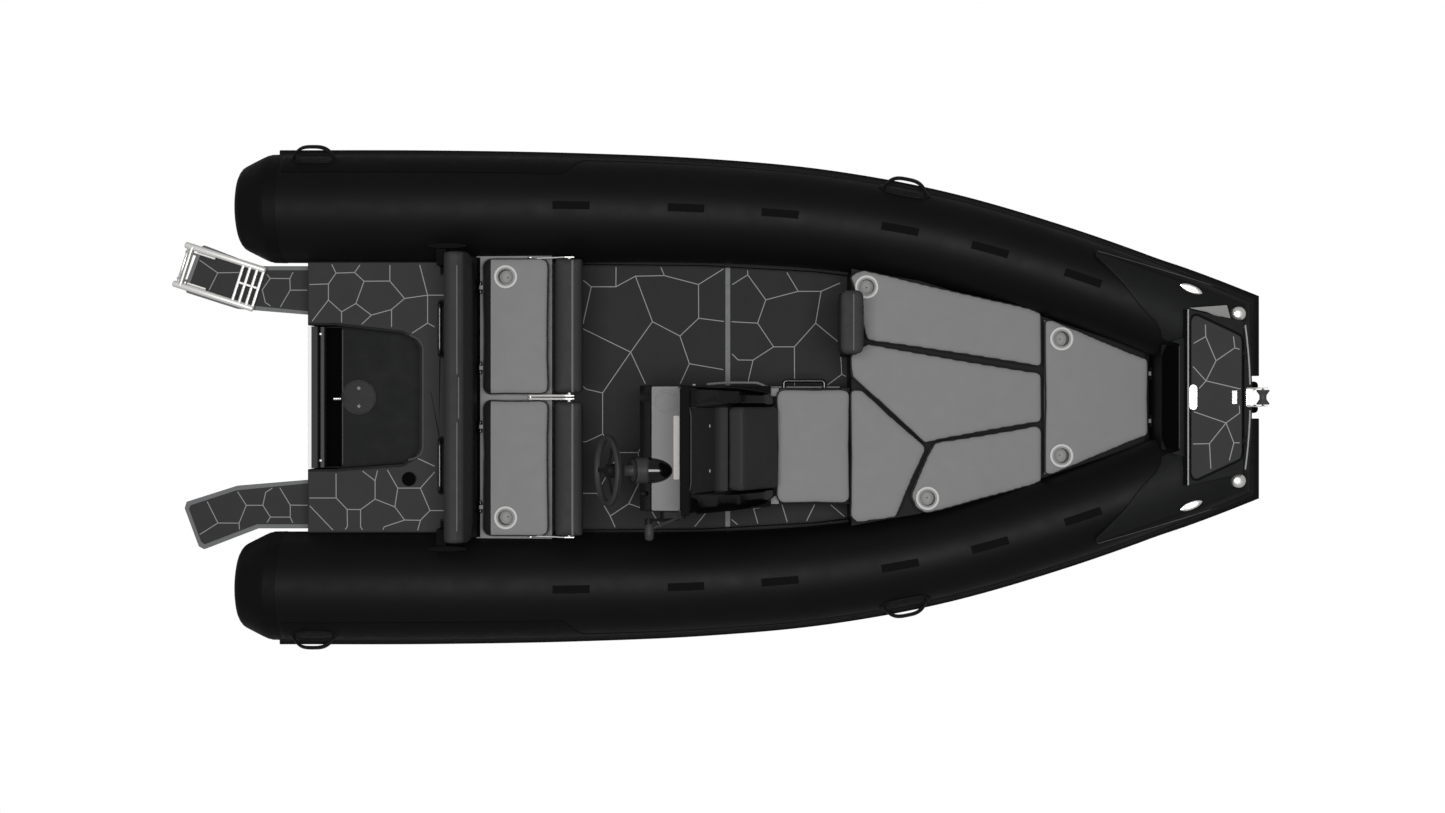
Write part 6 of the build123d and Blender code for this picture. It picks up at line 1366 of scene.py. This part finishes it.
# A black sheet over the bulkhead ahead of the locker cushion: painted shade in that recess
shadeSheetHalf = np.array([(2.1825, 0.205, 0.794), (2.196, 0.244, 0.820), (2.246, bulkhead["half"], 0.885)])
shadeSheetOutline = np.concatenate([shadeSheetHalf, shadeSheetHalf[::-1] * (1, -1, 1)])
coverPart = gridPart([shadeSheetOutline, shadeSheetOutline - (0, 0, bulkhead["shadeSheetThick"])])
buildPiece("bulkheadShadeSheet", [coverPart], blackRubberAndShade, "boat", smooth=False)
ledge = boxPart((bulkhead["ledgeX"][0], -bulkhead["half"], bulkhead["ledgeZ"][0]),
                (bulkhead["ledgeX"][1], bulkhead["half"], bulkhead["ledgeZ"][1]))
buildPiece("bulkheadLedge", [ledge], deckMoulding, "boat", smooth=False)
ledgeBead = sweepPart([(2.248, -0.250, 0.883), (2.248, 0.250, 0.883)], circleSection(0.0025, 8), (0, 0, 1))
mould = {"x": (1.880, 2.586), "y": (0.731, 0.521), "lift": 0.002, "radius": 0.004}
mouldX = np.linspace(*mould["x"], 60)
mouldXy = np.stack([mouldX, np.interp(mouldX, mould["x"], mould["y"])], axis=-1)
mouldPath = dropOn(("foredeck", "port_tube", "bow_tube"), mouldXy, mould["lift"])
mouldLine = sweepPart(mouldPath, circleSection(mould["radius"], 8), (0, 0, 1))
buildPiece("foredeckBeads", [ledgeBead, mouldLine, mirrorPart(mouldLine)], greyTrimAndHighlight, "boat")

# Painted highlights on the anchor locker's frame: along its aft edge, its bowed forward lip and a plate on its port
# slope
lip = {"aftX": 2.2725, "aftHalf": 0.428, "aftTop": 0.967, "frontX": 2.577, "frontHalf": 0.352, "bow": 0.024,
       "frontTop": 0.957, "bracketHalf": 0.048, "radius": 0.0042}
aftEnds = [(lip["aftX"], side * lip["aftHalf"], lip["aftTop"]) for side in (-1, 1)]
aftLip = sweepPart(aftEnds, circleSection(lip["radius"], 10), (0, 0, 1))
lipY = np.linspace(-lip["frontHalf"], lip["frontHalf"], 40)
lipX = lip["frontX"] - lip["bow"] * (lipY / lip["frontHalf"]) ** 2
frontXy = np.stack([lipX, lipY], axis=-1)[np.abs(lipY) > lip["bracketHalf"]]
lips = [aftLip]
for half in (frontXy[frontXy[:, 1] < 0], frontXy[frontXy[:, 1] > 0]):
    path = dropOn(("anchor_locker", "foredeck"), half, 0.001)
    path[:, 2] = np.maximum(path[:, 2], lip["frontTop"])
    lips.append(sweepPart(path, circleSection(lip["radius"], 10), (0, 0, 1)))
slopeHighlightOutline = np.array([(2.282, 0.436, 0.956), (2.478, 0.452, 0.900), (2.489, 0.388, 0.925), (2.555, 0.350, 0.925),
                         (2.560, 0.333, 0.950), (2.318, 0.437, 0.956)])
lips.append(gridPart([slopeHighlightOutline, slopeHighlightOutline - (0, 0, 0.003)]))
buildPiece("lockerLipHighlights", lips, paintedEdgeHighlight, "boat")
channel = boxPart((2.486, -0.032, 0.964), (2.509, 0.032, 0.9725))
buildPiece("lidChannel", [channel], stainless, "anchor_hatch", smooth=False)
lobe = {"x": 2.664, "y": 0.058, "z": 0.668}
lobeProfile = [[0.0, 0.021], [0.030, 0.021], [0.033, 0.018], [0.033, 0.001]]
lobes = [turnedPart(lobeProfile, (lobe["x"], side * lobe["y"], lobe["z"]), (0, 0, 1), count=32) for side in (-1, 1)]
buildPiece("rollerLobes", lobes, blackRubberAndShade, "boat")

# Flush cleats: leaf-shaped polished covers, a low dome over a pointed oval
leaf = {"x": 2.317, "y": 0.535, "z": 0.840, "long": 0.118, "wide": 0.038, "rise": 0.005, "turn": 22.0, "count": 48}
turn = np.linspace(0, 2 * np.pi, leaf["count"], endpoint=False)
outline = np.stack([leaf["long"] / 2 * np.cos(turn),
                    leaf["wide"] / 2 * np.sin(turn) * (1 - 0.45 * np.cos(turn) ** 4)], axis=-1)
heading = -math.radians(leaf["turn"])
turned = outline @ np.array([[math.cos(heading), math.sin(heading)], [-math.sin(heading), math.cos(heading)]])
levels = [(0.0, 1.0), (0.6, 0.98), (0.9, 0.86), (1.0, 0.55), (0.92, 0.2)]
leafRows = [np.concatenate([turned * size + (leaf["x"], leaf["y"]),
                            np.full((leaf["count"], 1), leaf["z"] + leaf["rise"] * high)], axis=1)
            for high, size in levels]
leafPart = gridPart(leafRows)
leaves = buildPiece("cleatLeaves", [leafPart, mirrorPart(leafPart)], stainless, "boat")
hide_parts("flush_cleats")

# Polished domes over the navigation lights
dome = {"x": 2.537, "y": 0.410, "z": 0.8975}
domeProfile = [[0.0, 0.0335], [0.004, 0.0335], [0.010, 0.030], [0.014, 0.022], [0.0155, 0.010], [0.0158, 0.0005]]
domeParts = [turnedPart(domeProfile, (dome["x"], side * dome["y"], dome["z"]), (0, 0, 1), count=40)
             for side in (-1, 1)]
buildPiece("navDomes", domeParts, stainless, "boat")
print("stage: foredeck")

# Floor at the waterline, soft overhead light and a pale sky
floorMesh = bpy.data.meshes.new("waterlineFloor")
floorReach = 60.0
floorMesh.from_pydata([(x * floorReach, y * floorReach, 0) for x, y in ((-1, -1), (1, -1), (1, 1), (-1, 1))], [],
                      [(0, 1, 2, 3)])
floorMaterial, tree, shader, place = newMaterial(
    "plainFloor", "#000000", Roughness=1.0, Specular_IOR_Level=0.0, Emission_Strength=1.0)
shader.inputs["Emission Color"].default_value = linearColour("#ffffff")
floorMesh.materials.append(floorMaterial)
floor = bpy.data.objects.new("waterlineFloor", floorMesh)
scene.collection.objects.link(floor)
# The backdrop glows evenly and lights nothing, so the flanks of the tubes stay as dark as in the photograph
floor.visible_diffuse = False
floor.visible_glossy = False

overhead = {"place": (0.0, 0.0, 15.0), "size": (9.0, 4.5), "power": 1950.0}
lampData = bpy.data.lights.new("overhead", "AREA")
lampData.shape = "RECTANGLE"
lampData.size, lampData.size_y = overhead["size"]
lampData.energy = overhead["power"]
lamp = bpy.data.objects.new("overhead", lampData)
lamp.location = overhead["place"]
lamp.rotation_euler = (-Vector(overhead["place"])).to_track_quat("-Z", "Y").to_euler()
scene.collection.objects.link(lamp)
world = bpy.data.worlds.new("paleSky")
world.use_nodes = True
sky = {"diffuse": 0.10, "glossy": 0.40}
tree = world.node_tree
ray = addNode(tree, "ShaderNodeLightPath")
glow = addNode(tree, "ShaderNodeMapRange", {"Value": ray.outputs["Is Glossy Ray"], "From Min": 0.0, "From Max": 1.0,
                                            "To Min": sky["diffuse"], "To Max": sky["glossy"]})
strength = addNode(tree, "ShaderNodeMath", {0: glow.outputs[0], 1: ray.outputs["Is Camera Ray"]}, operation="MAXIMUM")
tree.nodes["Background"].inputs[0].default_value = linearColour("#ffffff")
tree.links.new(strength.outputs[0], tree.nodes["Background"].inputs[1])
scene.world = world

# Camera straight above, its frame shifted by the pixels the boat's origin lies off the photo's middle
photo = {"wide": 1445, "tall": 813, "originX": 722.0, "originY": 397.25, "height": 10.75, "lens": 50.0,
         "sensor": 36.0}
cameraData = bpy.data.cameras.new("above")
cameraData.lens = photo["lens"]
cameraData.sensor_width = photo["sensor"]
cameraData.shift_x = (photo["wide"] / 2 - photo["originX"]) / photo["wide"]
cameraData.shift_y = -(photo["tall"] / 2 - photo["originY"]) / photo["wide"]
camera = bpy.data.objects.new("above", cameraData)
camera.location = (0.0, 0.0, photo["height"])
scene.collection.objects.link(camera)
scene.camera = camera
scene.view_settings.view_transform = "Standard"
print("stage: light and camera")
